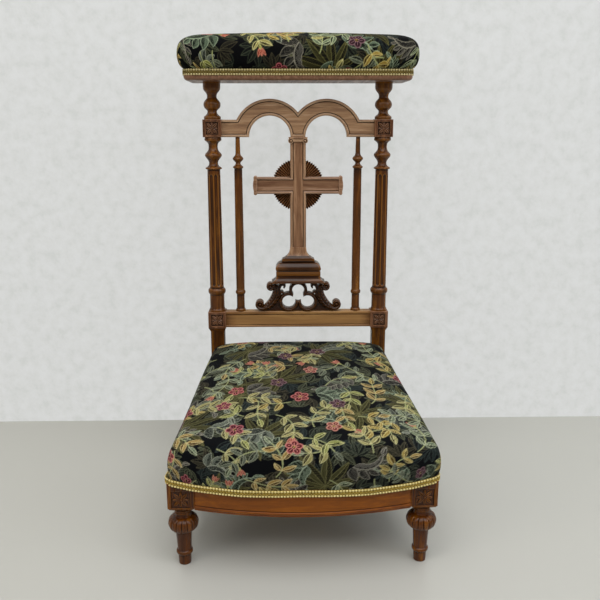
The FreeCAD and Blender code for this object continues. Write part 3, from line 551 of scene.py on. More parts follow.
def tapestry_material(name, thread=1.3):
    """Jacquard verdure tapestry in wool and cotton: the woven design is kept as a colour on the cloth,
    over weft ribs that catch the light; dull, with a soft bloom."""
    material, tree = new_material(name)
    design, relief, lay = (add(tree, "ShaderNodeAttribute", attribute_name=kept) for kept in
                           ("design", "relief", "lay"))
    lay = lay.outputs["Vector"]
    ribs = add(tree, "ShaderNodeTexWave", {"Vector": lay, "Scale": full_turn / 20 / thread, "Distortion": 0.5,
                                           "Detail": 1.5, "Detail Scale": 2.0}, bands_direction="Y")
    picks = add(tree, "ShaderNodeTexWave", {"Vector": lay, "Scale": full_turn / 20 / (thread * 0.8),
                                            "Distortion": 0.8, "Detail": 1.0}, bands_direction="X")
    weave = add(tree, "ShaderNodeMath", {0: ribs.outputs["Fac"], 1: picks.outputs["Fac"]},
                operation="MULTIPLY")
    shade = add(tree, "ShaderNodeMapRange", {"Value": weave, "To Min": 0.72, "To Max": 1.18})
    lit = add(tree, "ShaderNodeVectorMath", {0: design.outputs["Color"], "Scale": shade}, operation="SCALE")
    height = add(tree, "ShaderNodeMath", {0: relief.outputs["Fac"], 1: 0.55, 2: weave},
                 operation="MULTIPLY_ADD")
    bump = add(tree, "ShaderNodeBump", {"Height": height, "Strength": 0.55, "Distance": 0.35 * mm})
    shader = add(tree, "ShaderNodeBsdfPrincipled", {"Base Color": lit, "Roughness": 0.82, "Normal": bump,
                                                    "Specular IOR Level": 0.08, "Sheen Weight": 0.01})
    add(tree, "ShaderNodeOutputMaterial", {"Surface": shader})
    return material


turned_walnut = walnut("walnut_turned_posts", "Z", "#2c1604", "#562e0c", "#8e5c22", 0.30, 0.6)
block_walnut = walnut("walnut_post_blocks", "Z", "#2c1608", "#5e3a24", "#8c6448", 0.32, 0.6)
# The crest board and the cross's shaft and arms are paler and pinkish-grey: partly the walnut's own tone,
# partly a painted sheen standing for the sky's reflection on the upper waxed pieces.
board_walnut = walnut("walnut_crest_board", "X", "#765640", "#9c7a5a", "#be9e80", 0.34, 0.7)
low_rail_walnut = walnut("walnut_lower_rail", "X", "#5a3a1e", "#825a32", "#a8804e", 0.36, 0.5)
shaft_walnut = walnut("walnut_cross_shaft", "Z", "#5c3c28", "#886448", "#b89676", 0.32, 0.7)
arm_walnut = walnut("walnut_cross_arms", "X", "#5c3c28", "#846248", "#b09078", 0.32, 0.7)
# The rayed disc's span from dark to pale serves painted shade in the pleats' valleys and painted highlight on
# their ridges.
disc_walnut = walnut("walnut_rayed_disc", "Z", "#1c0c04", "#5a341a", "#a4744a", 0.32, 0.9)
shelf_walnut = walnut("walnut_armrest_shelf", "Y", "#3c2214", "#6e4a34", "#947058", 0.36, 0.5)
rail_walnut = walnut("walnut_seat_rails", "X", "#4c2200", "#743a00", "#955400", 0.40, 0.3)
side_walnut = walnut("walnut_side_rails", "Y", "#4c2200", "#743a00", "#955400", 0.40, 0.3)
carved_walnut = walnut("walnut_carving", "X", "#140700", "#2e1403", "#5e3814", 0.26, 0.6)
plinth_walnut = walnut("walnut_plinth", "X", "#200e06", "#3c2009", "#74491f", 0.18, 0.8)
leg_walnut = walnut("walnut_front_legs", "Z", "#260e00", "#4e2402", "#845014", 0.28, 0.7)
raw_beech = walnut("beech_sawn_raw", "X", "#7a5a38", "#9c7a50", "#b8966a", 0.7, 0.2)
jute = cloth_material("jute_webbing_plain_weave", [(0.35, "#6e5733"), (0.65, "#9a8052")], 2.2)
hessian = cloth_material("hessian_open_weave", [(0.35, "#6a5532"), (0.65, "#94794c")], 1.6)
tapestry = tapestry_material("verdure_tapestry_jacquard")
# The armrest's gimp takes darker copies of the same finishes: soiled by hands, and painted shade.
bright_gimp, soiled_shaded_gimp = (
    [cloth_material(name, [(0.3, dark), (0.7, light)], thread, roughness, height, 0.1)
     for name, dark, light, thread, roughness, height in finishes]
    for finishes in (
        [("gimp_gold_braid", "#5c4a0e", "#a08424", 0.9, 0.6, 0.4),
         ("gimp_cream_knots", "#c4ac54", "#f2e2a0", 0.7, 0.6, 0.3),
         ("gimp_olive_cord", "#7a6616", "#c8aa40", 0.7, 0.55, 0.3)],
        [("gimp_braid_soiled_shaded", "#3c300a", "#6e5a18", 0.9, 0.7, 0.4),
         ("gimp_knots_soiled_shaded", "#94824a", "#d0c28c", 0.7, 0.7, 0.3),
         ("gimp_cord_soiled_shaded", "#584a12", "#927c2c", 0.7, 0.7, 0.3)]))


# Back posts

post_profile = (
    [(15.6, 349.8), (17.5, 350.6), (17.5, 353.8), (17.5, 353.8), (16.2, 356.4), (15.6, 359.0), (15.5, 366.0),
     (15.4, 380.0), (15.5, 387.6), (15.5, 387.6), (16.4, 388.6), (18.2, 391.4), (18.8, 395.0), (18.2, 398.4),
     (16.2, 400.9), (15.2, 401.8), (15.2, 401.8), (14.7, 404.6)])
post_upper = (
    [(13.4, 652.4), (13.4, 654.6), (13.4, 654.6), (16.4, 655.4), (17.0, 656.6), (16.4, 658.4), (12.8, 660.6),
     (10.2, 663.4), (9.3, 667.0), (9.7, 670.6), (12.2, 675.0), (15.6, 679.2), (17.4, 682.8), (17.3, 685.2),
     (15.6, 687.8), (12.4, 691.2), (10.2, 695.0), (9.4, 700.0), (9.8, 705.6), (11.6, 709.4), (15.0, 712.2),
     (17.2, 713.8), (17.5, 716.4), (17.0, 719.0), (16.0, 721.0)])
cup_profile = (
    [(16.2, 755.0), (17.3, 757.4), (17.5, 759.6), (16.8, 761.8), (13.6, 764.4), (10.8, 767.4), (9.8, 770.8),
     (10.2, 773.6), (12.8, 776.2), (15.6, 779.0), (17.2, 782.8), (17.45, 785.8), (16.9, 789.4), (14.6, 793.2),
     (12.6, 795.4), (12.6, 795.4), (11.6, 796.6), (11.6, 796.6), (10.2, 798.6), (9.8, 801.4), (10.2, 804.8),
     (11.8, 808.2), (14.8, 811.8), (17.0, 815.6), (17.75, 820.0), (17.75, 829.9)])


def fluted(radius, height, angle):
    """Eight round-bottomed flutes whose ends are rounded like a thumb-nail."""
    low, high, run_out, depth = 406.5, 645.0, 6.5, 2.5
    if not low < height < high:
        return radius
    end = min(1.0, min(height - low, high - height) / run_out)
    span = math.sqrt(1 - (1 - end) ** 2)
    pitch = full_turn / 8
    half = pitch / 2 - 1.3 / radius.mean()
    off = np.abs((angle % pitch) - pitch / 2)
    share = np.clip(off / (half * max(span, 0.05)), 0, 1)
    return radius - depth * span * np.sqrt(1 - share ** 2)


def post():
    """One back post, upright about its own axis, from its lower block to the armrest."""
    column = [(14.6 - 1.2 * t, 404.6 + 245.6 * t) for t in
              np.concatenate([[0, 0.006], np.linspace(0.008, 0.036, 8), np.linspace(0.06, 0.95, 18),
                              np.linspace(0.954, 0.982, 8), [0.985, 1.0]])]
    turned_part = lathe(np.vstack([smooth_line(post_profile, 4), column[1:], smooth_line(post_upper, 4)]),
                        96, fluted)
    cup = lathe(np.vstack([smooth_line(cup_profile, 4), [(9.0, 829.9), (9.0, 838.0)]]), 48)
    blocks = [relief_block(block_half, block_half, foot, foot + block_height, post_flower)
              for foot in (lower_rail_top - block_height, crest_under)]
    return [turned_part, cup] + blocks


def square_ring(half_x, half_y, x, y, z, edge=1.6):
    """Eight points of a square with its corners taken off."""
    cut_x, cut_y = half_x - edge, half_y - edge
    ring = [(half_x, -cut_y), (half_x, cut_y), (cut_x, half_y), (-cut_x, half_y), (-half_x, cut_y),
            (-half_x, -cut_y), (-cut_x, -half_y), (cut_x, -half_y)]
    return split_sides([(x + px, y + py, z) for px, py in ring], (0, 0.12, 0.88))


def rear_leg():
    """The sawn part of a post: kicked back below the seat rails and square up to the lower block."""
    up = lower_rail_top - block_height - frame_top
    foot, kick = 12.0, 34.0
    taper = stile_half - foot
    edge = 2.2
    rings = [square_ring(foot, foot, -taper * 0.5, kick, 0, edge),
             square_ring(foot + 0.4, foot, -taper * 0.5, kick, edge)]
    for share in (0.25, 0.5, 0.75):
        half = foot + taper * share
        rings.append(square_ring(half, half, -taper * (1 - share) * 0.5, kick * (1 - share) ** 1.25,
                                 rail_foot * share))
    rings += [square_ring(stile_half, stile_half, 0, 0, z) for z in (rail_foot, frame_top)]
    rings += [square_ring(half, half, 0, rise * math.sin(rake), frame_top + rise * math.cos(rake))
              for half, rise in ((stile_half, up - 8), (18.6, up))]
    return moved(lofted(rings), 0, post_y, 0)


def both_sides(shells):
    """Shells of the right piece and, mirrored, of the left one, each with its side's name."""
    return ("right", shells), ("left", [mirrored(shell) for shell in shells])


post_shells = [leaned(moved(shell, post_x)) for shell in post()] + [moved(rear_leg(), post_x)]
for side, shells in both_sides(post_shells):
    piece = worn_and_shaded_piece("back_post_" + side, together(shells), turned_walnut, ["rear_stile_" + side], 1, 2.6)
    piece.data.materials.append(block_walnut)
    block_faces = np.cumsum([len(faces) for _, faces in shells])
    for polygon in piece.data.polygons:
        polygon.material_index = int(block_faces[1] <= polygon.index < block_faces[3])


# Front legs

leg_profile = (
    [(9.6, 0.0), (10.6, 0.8), (10.9, 2.4), (11.2, 10.0), (11.6, 19.0), (11.6, 19.0), (12.6, 20.0),
     (14.2, 21.8), (14.6, 24.0), (14.1, 26.4), (12.6, 27.9), (12.3, 28.4), (12.3, 28.4), (12.5, 34.0),
     (13.2, 50.0), (14.0, 64.0), (14.3, 66.6)])
melon_profile = (
    [(14.3, 66.6), (17.6, 67.2), (21.6, 69.4), (24.8, 73.4), (26.3, 78.6), (26.4, 82.0), (25.4, 86.6),
     (22.8, 90.6), (18.8, 93.4), (14.4, 94.6)])
neck_profile = (
    [(14.4, 94.6), (14.0, 95.2), (14.0, 95.2), (13.2, 97.4), (13.0, 99.6), (13.0, 99.6), (14.2, 100.2),
     (14.8, 101.8), (14.2, 103.4), (13.4, 103.9), (13.4, 103.9), (14.4, 104.6), (15.0, 106.2), (14.4, 107.8),
     (13.6, 108.6), (13.6, 108.6), (14.2, 110.6), (15.6, 112.6)])


def gadroons(radius, height, angle):
    """Sixteen drop-shaped gadroons round the melon, widest at its middle."""
    low, high, depth = 66.9, 94.2, 2.6
    if not low < height < high:
        return radius
    share = (height - low) / (high - low)
    swell = math.sin(math.pi * share) ** 0.55
    pitch = full_turn / 16
    off = np.abs((angle % pitch) - pitch / 2) / (pitch / 2)
    return radius - depth * swell * (1 - np.sqrt(np.clip(1 - (off * 0.98) ** 2.6, 0, 1)))


def front_leg():
    turned_part = lathe(smooth_line(leg_profile, 4), 64)
    melon = lathe(smooth_line(melon_profile, 5), 192, gadroons)
    neck = lathe(smooth_line(neck_profile, 4), 64)
    shoulder = lofted([square_ring(half, half, 0, 0, z, edge) for half, z, edge in
                       ((15.6, 111.6, 5.0), (17.5, 112.4, 3.4), (21.5, 115.4, 1.6), (22.6, 118.0, 1.0))])
    block = relief_block(leg_half, leg_half, 117.6, frame_top, lambda x, z: leg_flower(x, z + 7.2))
    return [turned_part, melon, neck, shoulder, block]


for side, shells in both_sides([moved(shell, leg_x, leg_y) for shell in front_leg()]):
    worn_and_shaded_piece("front_leg_" + side + "_carved", together(shells), leg_walnut, ["front_leg_" + side])


# Front seat rail, swept along its bow

def bowed_rail():
    set_back = 2.0
    face = leg_y - leg_half + set_back
    bow = leg_y - leg_half - bow_depth
    half = leg_x - leg_half
    rise = face - bow
    radius = (half * half + rise * rise) / (2 * rise)
    centre_y = bow + radius
    section = smooth_line([
        (-24.0, 114.0), (-24.0, 114.0), (-1.6, 114.0), (-1.6, 114.0), (-0.4, 114.5), (0.0, 115.8),
        (0.0, 117.6), (0.0, 117.6), (1.0, 118.4), (1.5, 120.2), (1.0, 122.0), (0.0, 122.8), (0.0, 122.8),
        (-1.1, 123.2), (-1.1, 124.0), (0.0, 124.6), (0.0, 124.6), (0.0, 165.0), (0.0, 165.0), (-0.8, 166.0),
        (-0.8, 166.0), (-24.0, 166.0)], 3)
    rings, deepest = [], -20.0
    reach = math.asin(half / radius)
    for angle in np.linspace(-reach, reach, 49):
        rings.append([(math.sin(angle) * (radius + max(out, deepest)),
                       centre_y - math.cos(angle) * (radius + out), z) for out, z in section])
    return lofted(rings)


worn_and_shaded_piece("bowed_seat_rail", bowed_rail(), rail_walnut, ["front_seat_rail"])


# Crest rail with its two arches

def crest_loop():
    spread, inner, outer, shoulder, into_block = 58.3, 43.0, 76.5, 35, 8
    top = crest_under + shoulder
    half = post_x - block_half + into_block
    turn = math.degrees(math.asin(shoulder / outer))
    valley = math.degrees(math.acos(spread / outer))
    loop = [(-half, crest_under)]
    loop += arc(-spread, crest_under, inner, 180, 0, 41)
    loop += arc(spread, crest_under, inner, 180, 0, 41)
    loop += [(half, crest_under), (half, top)]
    loop += arc(spread, crest_under, outer, turn, 180 - valley, 49)
    loop += arc(-spread, crest_under, outer, valley, 180 - turn, 49)[1:]
    loop.append((-half, top))
    return loop


crest = moulded(crest_loop(), bead_rings(-9.1, 6.0, 0.9, 2.1, 0.9), 10)
worn_and_shaded_piece("arched_crest_rail", leaned(crest), board_walnut, ["crest_rail"])


# Lower back rail, with a bead along each edge

def straight_rail():
    half = post_x - block_half
    foot, top = lower_rail_top - block_height, lower_rail_top
    section = smooth_line([
        (10.0, foot + 0.8), (10.0, foot + 0.8), (9.2, foot), (9.2, foot), (-8.8, foot), (-8.8, foot),
        (-9.7, foot + 0.7), (-10.0, foot + 2.4), (-9.7, foot + 4.0), (-9.0, foot + 4.7), (-9.0, foot + 4.7),
        (-8.0, foot + 5.0), (-8.0, foot + 5.7), (-8.9, foot + 6.3), (-8.9, foot + 6.3), (-8.9, top - 8.6),
        (-8.9, top - 8.6), (-8.0, top - 8.1), (-8.0, top - 7.4), (-9.0, top - 7.0), (-9.0, top - 7.0),
        (-9.8, top - 6.0), (-10.0, top - 3.8), (-9.7, top - 1.4), (-8.6, top), (-8.6, top),
        (9.2, top), (9.2, top), (10.0, top - 0.8)], 3)
    return lofted([[(x, y, z) for y, z in section] for x in np.linspace(-half, half, 9)])


worn_and_shaded_piece("beaded_lower_rail", leaned(straight_rail()), low_rail_walnut, ["lower_back_rail"])


# Spindles

spindle_profile = (
    [(10.4, 350.3), (10.6, 352.6), (10.2, 354.6), (8.6, 356.6), (8.6, 356.6), (8.4, 372.0), (8.4, 387.2),
     (8.4, 387.2), (9.4, 388.2), (10.6, 390.6), (10.6, 393.6), (9.6, 395.8), (8.6, 397.2), (8.6, 397.2),
     (9.0, 402.0), (8.9, 520.0), (8.4, 656.0), (8.4, 656.0), (9.2, 656.8), (10.6, 658.4), (10.7, 660.0),
     (9.2, 661.6), (6.2, 664.4), (5.0, 667.4), (6.0, 669.6), (9.0, 672.6), (11.0, 675.6), (11.1, 677.4),
     (9.6, 679.8), (6.6, 683.0), (5.2, 687.6), (5.0, 698.0), (4.4, 720.4)])
spindle = lathe(smooth_line(spindle_profile, 4), 40)
for side, x in (("right", 125), ("left", -125)):
    worn_and_shaded_piece("turned_spindle_" + side, leaned(moved(spindle, x)), turned_walnut, ["spindle_" + side])


# Cross

def cross_loop():
    half_shaft, half_arm, reach = 16.6, 17.5, 92.4
    low, top = plinth_top + 6, crest_under - 2.5
    return [(-half_shaft - 0.4, low), (half_shaft + 0.4, low), (half_shaft + 0.2, arm_centre - half_arm),
            (reach, arm_centre - half_arm), (reach, arm_centre + half_arm),
            (half_shaft - 0.4, arm_centre + half_arm), (half_shaft - 0.4, top), (0.4 - half_shaft, top),
            (0.4 - half_shaft, arm_centre + half_arm), (-reach, arm_centre + half_arm),
            (-reach, arm_centre - half_arm), (-half_shaft - 0.2, arm_centre - half_arm)]


def part_arms(shell):
    """The cross with its front field cut at the crossing, so that each arm's grain can run along it."""
    points, faces = shell
    field_corners, field_half, middle_half, arm_level = 13, 14, 5, 12
    kept = []
    for face in faces:
        ring = points[list(face)]
        is_rear = ring[:, 1].mean() > -5
        if len(face) < field_corners or is_rear:
            kept.append(face)
            continue
        level = np.abs(ring[:, 2] - arm_centre) < arm_level
        for sign in (1, -1):
            kept.append([i for i, here, x in zip(face, level, ring[:, 0])
                         if here and sign * x > middle_half])
        kept.append([i for i, here, x in zip(face, level, ring[:, 0]) if not here or abs(x) < field_half])
    return points, kept


def cross_cap():
    """End of the right arm: a bar with a slightly bowed outer edge and a roll at each end."""
    inner, outer, high, low = 85.5, 94.5, arm_centre + 20, arm_centre - 20
    loop = arc(inner + 3.8, low + 3.8, 3.8, 180, 350, 9)
    loop += [(outer - 1.6, low + 8), (outer - 0.4, arm_centre - 6), (outer, arm_centre),
             (outer - 0.4, arm_centre + 6), (outer - 1.6, high - 8)]
    loop += arc(inner + 3.8, high - 3.8, 3.8, 10, 180, 9)
    return moulded(loop, [(0.0, -11.0), (0.4, -11.8), (1.4, -12.2)], cross_back)


def capital_shells():
    """The small capital: a slab and a bar, with a ring-shaped volute under each end of the slab."""
    half, top = 19.6, crest_under
    slab = moulded([(-half + 0.6, top - 3.2), (half - 0.6, top - 3.2), (half, top - 1.8), (half, top),
                    (-half, top), (-half, top - 1.8)],
                   [(0.0, -12.4), (0.4, -13.4), (0.9, -13.7)], cross_back)
    bar = moulded(rectangle(-15.6, 15.6, top - 9.6, top - 2.8), [(0.0, -10.6), (0.6, -11.2)], cross_back)
    shells = [slab, bar]
    angle = np.arange(28) * full_turn / 28
    for sign in (-1, 1):
        x, z = sign * 14.8, top - 7.4
        rings = [np.column_stack([x + radius * np.cos(angle), np.full(28, y), z + radius * np.sin(angle)])
                 for radius, y in ((5.6, cross_back), (5.6, -13.4), (5.2, -14.4), (4.2, -14.5), (3.7, -12.6),
                                   (2.6, -12.6), (2.1, -13.8), (1.2, -14.4), (0.3, -14.5))]
        shells.append(lofted(rings))
    return shells


def stepped(outline, back):
    """A moulding that runs across the front and both sides, mitred: pairs of half width, front and height."""
    return lofted([split_sides([(-half, back, z), (half, back, z), (half, front, z), (-half, front, z)],
                               (0, 0.05, 0.3, 0.7, 0.95)) for half, front, z in outline])


def stepped_outline(pairs, front, half_base, share=0.8, steps=5):
    line = smooth_line(pairs, steps)
    return [(half, front + (half_base - half) * share, z) for half, z in line]


flare = stepped_outline([(34.0, 462.4), (34.0, 462.4), (34.2, 464.6), (33.6, 466.8), (33.6, 466.8),
                         (29.6, 468.4), (26.4, 471.0), (26.4, 471.0), (24.6, 471.6), (24.6, 471.6),
                         (20.6, 476.4), (18.2, 482.6), (17.2, 490.0), (17.0, 491.0)], -19.5, 34.0, 0.5)
cross_face = part_arms(moulded(cross_loop(), bead_rings(-9.4, 6.2, 0.9, 2.2, 0.9), cross_back))
cross_shells = [cross_face, cross_cap(), mirrored(cross_cap()), stepped(flare, cross_back)]
cross_shells += capital_shells()
piece = worn_and_shaded_piece("carved_cross", leaned(together(cross_shells)), shaft_walnut, ["cross"], 1)
piece.data.materials.append(plinth_walnut)
piece.data.materials.append(arm_walnut)
beyond_shaft, arm_reach_z, flare_top = 17.5, 25, 473
for polygon in piece.data.polygons:
    across, _, up = polygon.center / mm
    on_arm = abs(across) > beyond_shaft and abs(up - arm_centre) < arm_reach_z
    polygon.material_index = 1 if up < flare_top else 2 if on_arm else 0


# Disc of rays: one pleat, repeated round the disc by Geometry Nodes

def ray_pleat(count, hub, radius, tooth):
    """One pleat of the disc, from its hub to its toothed rim, along +X."""
    half = math.pi / count
    rings = []
    for reach, deep in ((hub, 0.0), (hub + 8, 1.2), (radius - 12, 2.8), (radius - 4, 3.2)):
        rings.append([(reach, -half, deep), (reach, -half * 0.45, deep * 0.35), (reach, 0.0, 0.0),
                      (reach, half * 0.45, deep * 0.35), (reach, half, deep)])
    rings.append([(radius - tooth, -half, 3.4), (radius - tooth * 0.5, -half * 0.45, 1.2), (radius, 0.0, 0.2),
                  (radius - tooth * 0.5, half * 0.45, 1.2), (radius - tooth, half, 3.4)])
    front = [(r * math.cos(a), cross_back + y, r * math.sin(a)) for ring in rings for r, a, y in ring]
    rear = [(x, cross_back + 6.0, z) for x, _, z in front]
    rows, columns = len(rings), 5
    quads = grid_faces(rows, columns)
    count_front = rows * columns
    faces = quads + [[i + count_front for i in q[::-1]] for q in quads]
    last = (rows - 1) * columns
    for c in range(columns - 1):
        faces.append([last + c, last + c + 1, last + c + 1 + count_front, last + c + count_front][::-1])
    return np.array(front + rear), faces


def node_group(name, inputs):
    """A Geometry Nodes tree with named inputs. inputs are name, socket kind and default."""
    tree = bpy.data.node_groups.new(name, "GeometryNodeTree")
    tree.interface.new_socket("Geometry", in_out="INPUT", socket_type="NodeSocketGeometry")
    sockets = {}
    for label, kind, default in inputs:
        socket = tree.interface.new_socket(label, in_out="INPUT", socket_type=kind)
        if default is not None:
            socket.default_value = default
        sockets[label] = socket.identifier
    tree.interface.new_socket("Geometry", in_out="OUTPUT", socket_type="NodeSocketGeometry")
    return tree, sockets


def run_nodes(name, holder, tree, identifiers, values):
    """Evaluate a node tree on an object and give the result as a plain mesh object."""
    modifier = holder.modifiers.new("nodes", "NODES")
    modifier.node_group = tree
    for label, value in values.items():
        modifier[identifiers[label]] = value
    holder.update_tag()
    bpy.context.view_layer.update()
    evaluated = holder.evaluated_get(bpy.context.evaluated_depsgraph_get())
    mesh = bpy.data.meshes.new_from_object(evaluated)
    mesh.name = name
    holder.modifiers.remove(modifier)
    return linked(name, mesh)


def drop(*objects):
    for item in objects:
        bpy.data.objects.remove(item)


def repeat_round():
    """Copies of one piece turned about the Y axis, joined where they meet."""
    tree, names = node_group("repeat_round", [
        ("Piece", "NodeSocketObject", None), ("Count", "NodeSocketInt", 64),
        ("Join", "NodeSocketFloat", 0.0001), ("Material", "NodeSocketMaterial", None)])
    given = add(tree, "NodeGroupInput")
    line = add(tree, "GeometryNodeMeshLine", {"Count": given.outputs["Count"], "Offset": (0, 0, 0)})
    piece_info = add(tree, "GeometryNodeObjectInfo", {"Object": given.outputs["Piece"]})
    index = add(tree, "GeometryNodeInputIndex")
    step = add(tree, "ShaderNodeMath", {0: full_turn, 1: given.outputs["Count"]}, operation="DIVIDE")
    angle = add(tree, "ShaderNodeMath", {0: index.outputs[0], 1: step.outputs[0]}, operation="MULTIPLY")
    turn = add(tree, "ShaderNodeCombineXYZ", {"Y": angle.outputs[0]})
    copies = add(tree, "GeometryNodeInstanceOnPoints", {
        "Points": line.outputs["Mesh"], "Instance": piece_info.outputs["Geometry"],
        "Rotation": turn.outputs[0]})
    real = add(tree, "GeometryNodeRealizeInstances", {"Geometry": copies.outputs["Instances"]})
    merged = add(tree, "GeometryNodeMergeByDistance", {"Geometry": real.outputs["Geometry"],
                                                       "Distance": given.outputs["Join"]})
    dressed = add(tree, "GeometryNodeSetMaterial", {"Geometry": merged.outputs["Geometry"],
                                                    "Material": given.outputs["Material"]})
    add(tree, "NodeGroupOutput", {"Geometry": dressed.outputs["Geometry"]})
    return tree, names


round_tree, round_names = repeat_round()
pleat = make_mesh("one_pleat", ray_pleat(64, 12.0, 55.5, 3.4), None)
holder = make_mesh("pleat_holder", (np.array([(0.0, 0, 0), (1, 0, 0), (0, 1, 0)]), [[0, 1, 2]]), None)
disc = run_nodes("rayed_disc", holder, round_tree, round_names,
                 {"Piece": pleat, "Count": 64, "Join": 0.00005, "Material": disc_walnut})
drop(pleat, holder)
rays = numbers(disc.data.vertices, "co") / mm + [0, 0, arm_centre]
disc.data.vertices.foreach_set("co", (lean(rays) * mm).ravel())
disc.data.update()
disc.data.shade_smooth()
disc.data.set_sharp_from_angle(angle=math.radians(40))
# A strong gain paints the pleats' ridges pale and their valleys dark: painted highlight and painted shade.
add_wear_and_shade(disc, 0, 4.0)
finish_piece(disc, ["halo_disc"])


# Stepped plinth

plinth = stepped_outline([(56.4, 416.2), (56.4, 416.2), (56.8, 417.6), (54.6, 418.8), (51.4, 420.8),
                          (48.6, 423.6), (47.0, 427.2), (46.5, 430.8), (46.5, 430.8), (47.3, 431.8),
                          (47.3, 431.8), (47.3, 440.0), (47.3, 440.0), (45.4, 440.8), (45.4, 442.4),
                          (45.4, 442.4), (47.3, 443.2), (48.2, 446.4), (47.4, 450.0),
                          (44.6, 454.6), (41.2, 457.6), (38.4, 459.0), (37.8, 459.2), (37.8, 459.2),
                          (35.6, 459.8), (35.6, 462.5)], -24.0, 47.4, 0.8)
worn_and_shaded_piece("stepped_plinth", leaned(stepped(plinth, 10)), plinth_walnut, ["splat_plinth"], 1)


# Scrolled bracket with its trefoil

scroll_path = [
    (58.6, 403.0, 1.9), (56.2, 405.0, 2.1), (56.6, 408.2, 2.4), (59.8, 410.2, 2.9), (63.6, 409.0, 3.2),
    (65.4, 404.8, 3.3), (63.2, 400.2, 3.4), (58.4, 398.6, 3.3), (54.4, 401.6, 3.6), (50.8, 405.0, 4.8),
    (47.6, 402.0, 6.4), (47.0, 396.0, 7.8), (47.4, 390.0, 8.5), (49.0, 383.0, 9.0), (52.5, 376.0, 8.8),
    (57.5, 369.0, 8.2), (64.0, 362.6, 7.0), (71.0, 358.0, 5.6), (77.5, 355.8, 4.4), (82.8, 356.6, 3.8),
    (87.8, 359.2, 3.4), (89.9, 364.5, 3.2), (87.8, 369.6, 3.0), (82.8, 371.8, 2.8), (78.2, 369.2, 2.5),
    (77.2, 364.8, 2.2), (79.6, 361.4, 1.8)]
hook_path = [(43.0, 392.0, 3.8), (41.4, 401.0, 3.8), (38.4, 407.0, 3.6), (33.6, 409.4, 3.3),
             (29.6, 406.4, 2.8), (30.6, 402.0, 1.8)]
small_hook_path = [(43.0, 382.0, 3.6), (39.0, 390.0, 3.0), (35.2, 392.4, 2.4), (32.6, 390.0, 1.8)]
eyes = [(60.4, 404.4, 2.8), (82.9, 365.2, 3.4)]
top_foil, side_foil = (0.0, 396.3, 13.0), (20.4, 370.8, 14.2)
foil_band = 6.8


def along_path(path, x, z):
    """Signed distance to a band that follows a path of x, z and half width, with place along and across."""
    line = smooth_line(path, 6)
    best = np.full(x.shape, 1e9)
    along = np.zeros(x.shape)
    across = np.zeros(x.shape)
    total = 0.0
    for (ax, az, aw), (bx, bz, bw) in zip(line, line[1:]):
        dx, dz = bx - ax, bz - az
        length = math.hypot(dx, dz)
        t = np.clip(((x - ax) * dx + (z - az) * dz) / length ** 2, 0, 1)
        off_x, off_z = x - ax - dx * t, z - az - dz * t
        reach = np.hypot(off_x, off_z)
        half = aw + (bw - aw) * t
        value = reach - half
        near = value < best
        side = np.sign(dx * off_z - dz * off_x)
        best = np.where(near, value, best)
        along = np.where(near, total + length * t, along)
        across = np.where(near, side * reach / half, across)
        total += length
    return best, along, across


def bracket_parts(x, z):
    x = np.abs(x)
    body, along, across = along_path(scroll_path, x, z)
    hooks = np.minimum(along_path(hook_path, x, z)[0], along_path(small_hook_path, x, z)[0])
    eye = np.min([np.hypot(x - ex, z - ez) - er for ex, ez, er in eyes], axis=0)
    hole = np.minimum(*[np.hypot(x - fx, z - fz) - fr for fx, fz, fr in (top_foil, side_foil)])
    outer = hole - foil_band
    rings = np.maximum(outer, -hole)
    opening = np.hypot(x, z - 382.8) - 11.4
    foot = np.maximum(z - 352.6 - np.clip((72 - x) * 0.75, 0, 13), x - 76)
    foot = np.minimum(foot, np.maximum(z - 386.0 + np.abs(x - 40) * 0.4, np.abs(x - 38) - 12))
    head = np.maximum(np.abs(z - 416.4) - 2.6, x - 52)
    return body, along, across, hooks, eye, rings, hole, opening, foot, head


def bracket_field(x, z):
    body, _, _, hooks, eye, rings, hole, opening, foot, head = bracket_parts(x, z)
    solid = np.minimum(np.minimum(rings, foot), np.minimum(body, np.minimum(hooks, eye)))
    solid = np.minimum(solid, head)
    solid = np.maximum(solid, np.maximum(-hole, -opening))
    return np.maximum(np.maximum(solid, lower_rail_top - z), z - plinth_foot)


def bracket_height(x, z):
    body, along, across, hooks, eye, rings, _, _, _, _ = bracket_parts(x, z)
    depth = np.full(x.shape, -7.6)
    band = np.clip(-rings / (foil_band / 2), 0, 1)
    moulding = -8.6 - 4.2 * np.sqrt(np.clip(1 - (1 - band) ** 2, 0, 1))
    depth = np.where(rings < 0, np.minimum(depth, moulding), depth)
    rib = np.abs(across)
    leaf = 0.5 + 0.5 * np.cos(full_turn * (along / 7.5 + rib * 0.75))
    in_leaf = np.clip((along - 34) / 6, 0, 1) * np.clip((96 - along) / 6, 0, 1)
    crown = -8.4 - 4.6 * np.sqrt(np.clip(1 - rib ** 2, 0, 1))
    crown = crown + in_leaf * (2.0 * leaf * rib + 1.6 * np.exp(-(rib / 0.14) ** 2))
    crown = crown + (1 - in_leaf) * 0.9 * np.exp(-((rib - 0.45) / 0.16) ** 2)
    depth = np.where(body < 0, np.minimum(depth, crown), depth)
    curl = np.clip(-hooks / 1.8, 0, 1)
    depth = np.where(hooks < 0, np.minimum(depth, -7.0 - 3.6 * np.sqrt(1 - (1 - curl) ** 2)), depth)
    ball = np.clip(-eye / 2.6, 0, 1)
    depth = np.where(eye < 0, np.minimum(depth, -8.6 - 4.4 * np.sqrt(1 - (1 - ball) ** 2)), depth)
    edge = np.clip(-bracket_field(x, z) / 1.1, 0, 1)
    return depth + 1.0 * (1 - edge) ** 2


bracket = carved_plate(bracket_field, bracket_height, (-95, 95),
                       (lower_rail_top - 0.5, plinth_foot + 0.5), 0.7, 9.0)
worn_and_shaded_piece("scrolled_bracket", leaned(bracket), carved_walnut, ["scroll_bracket"], sharp=50)


# Armrest board

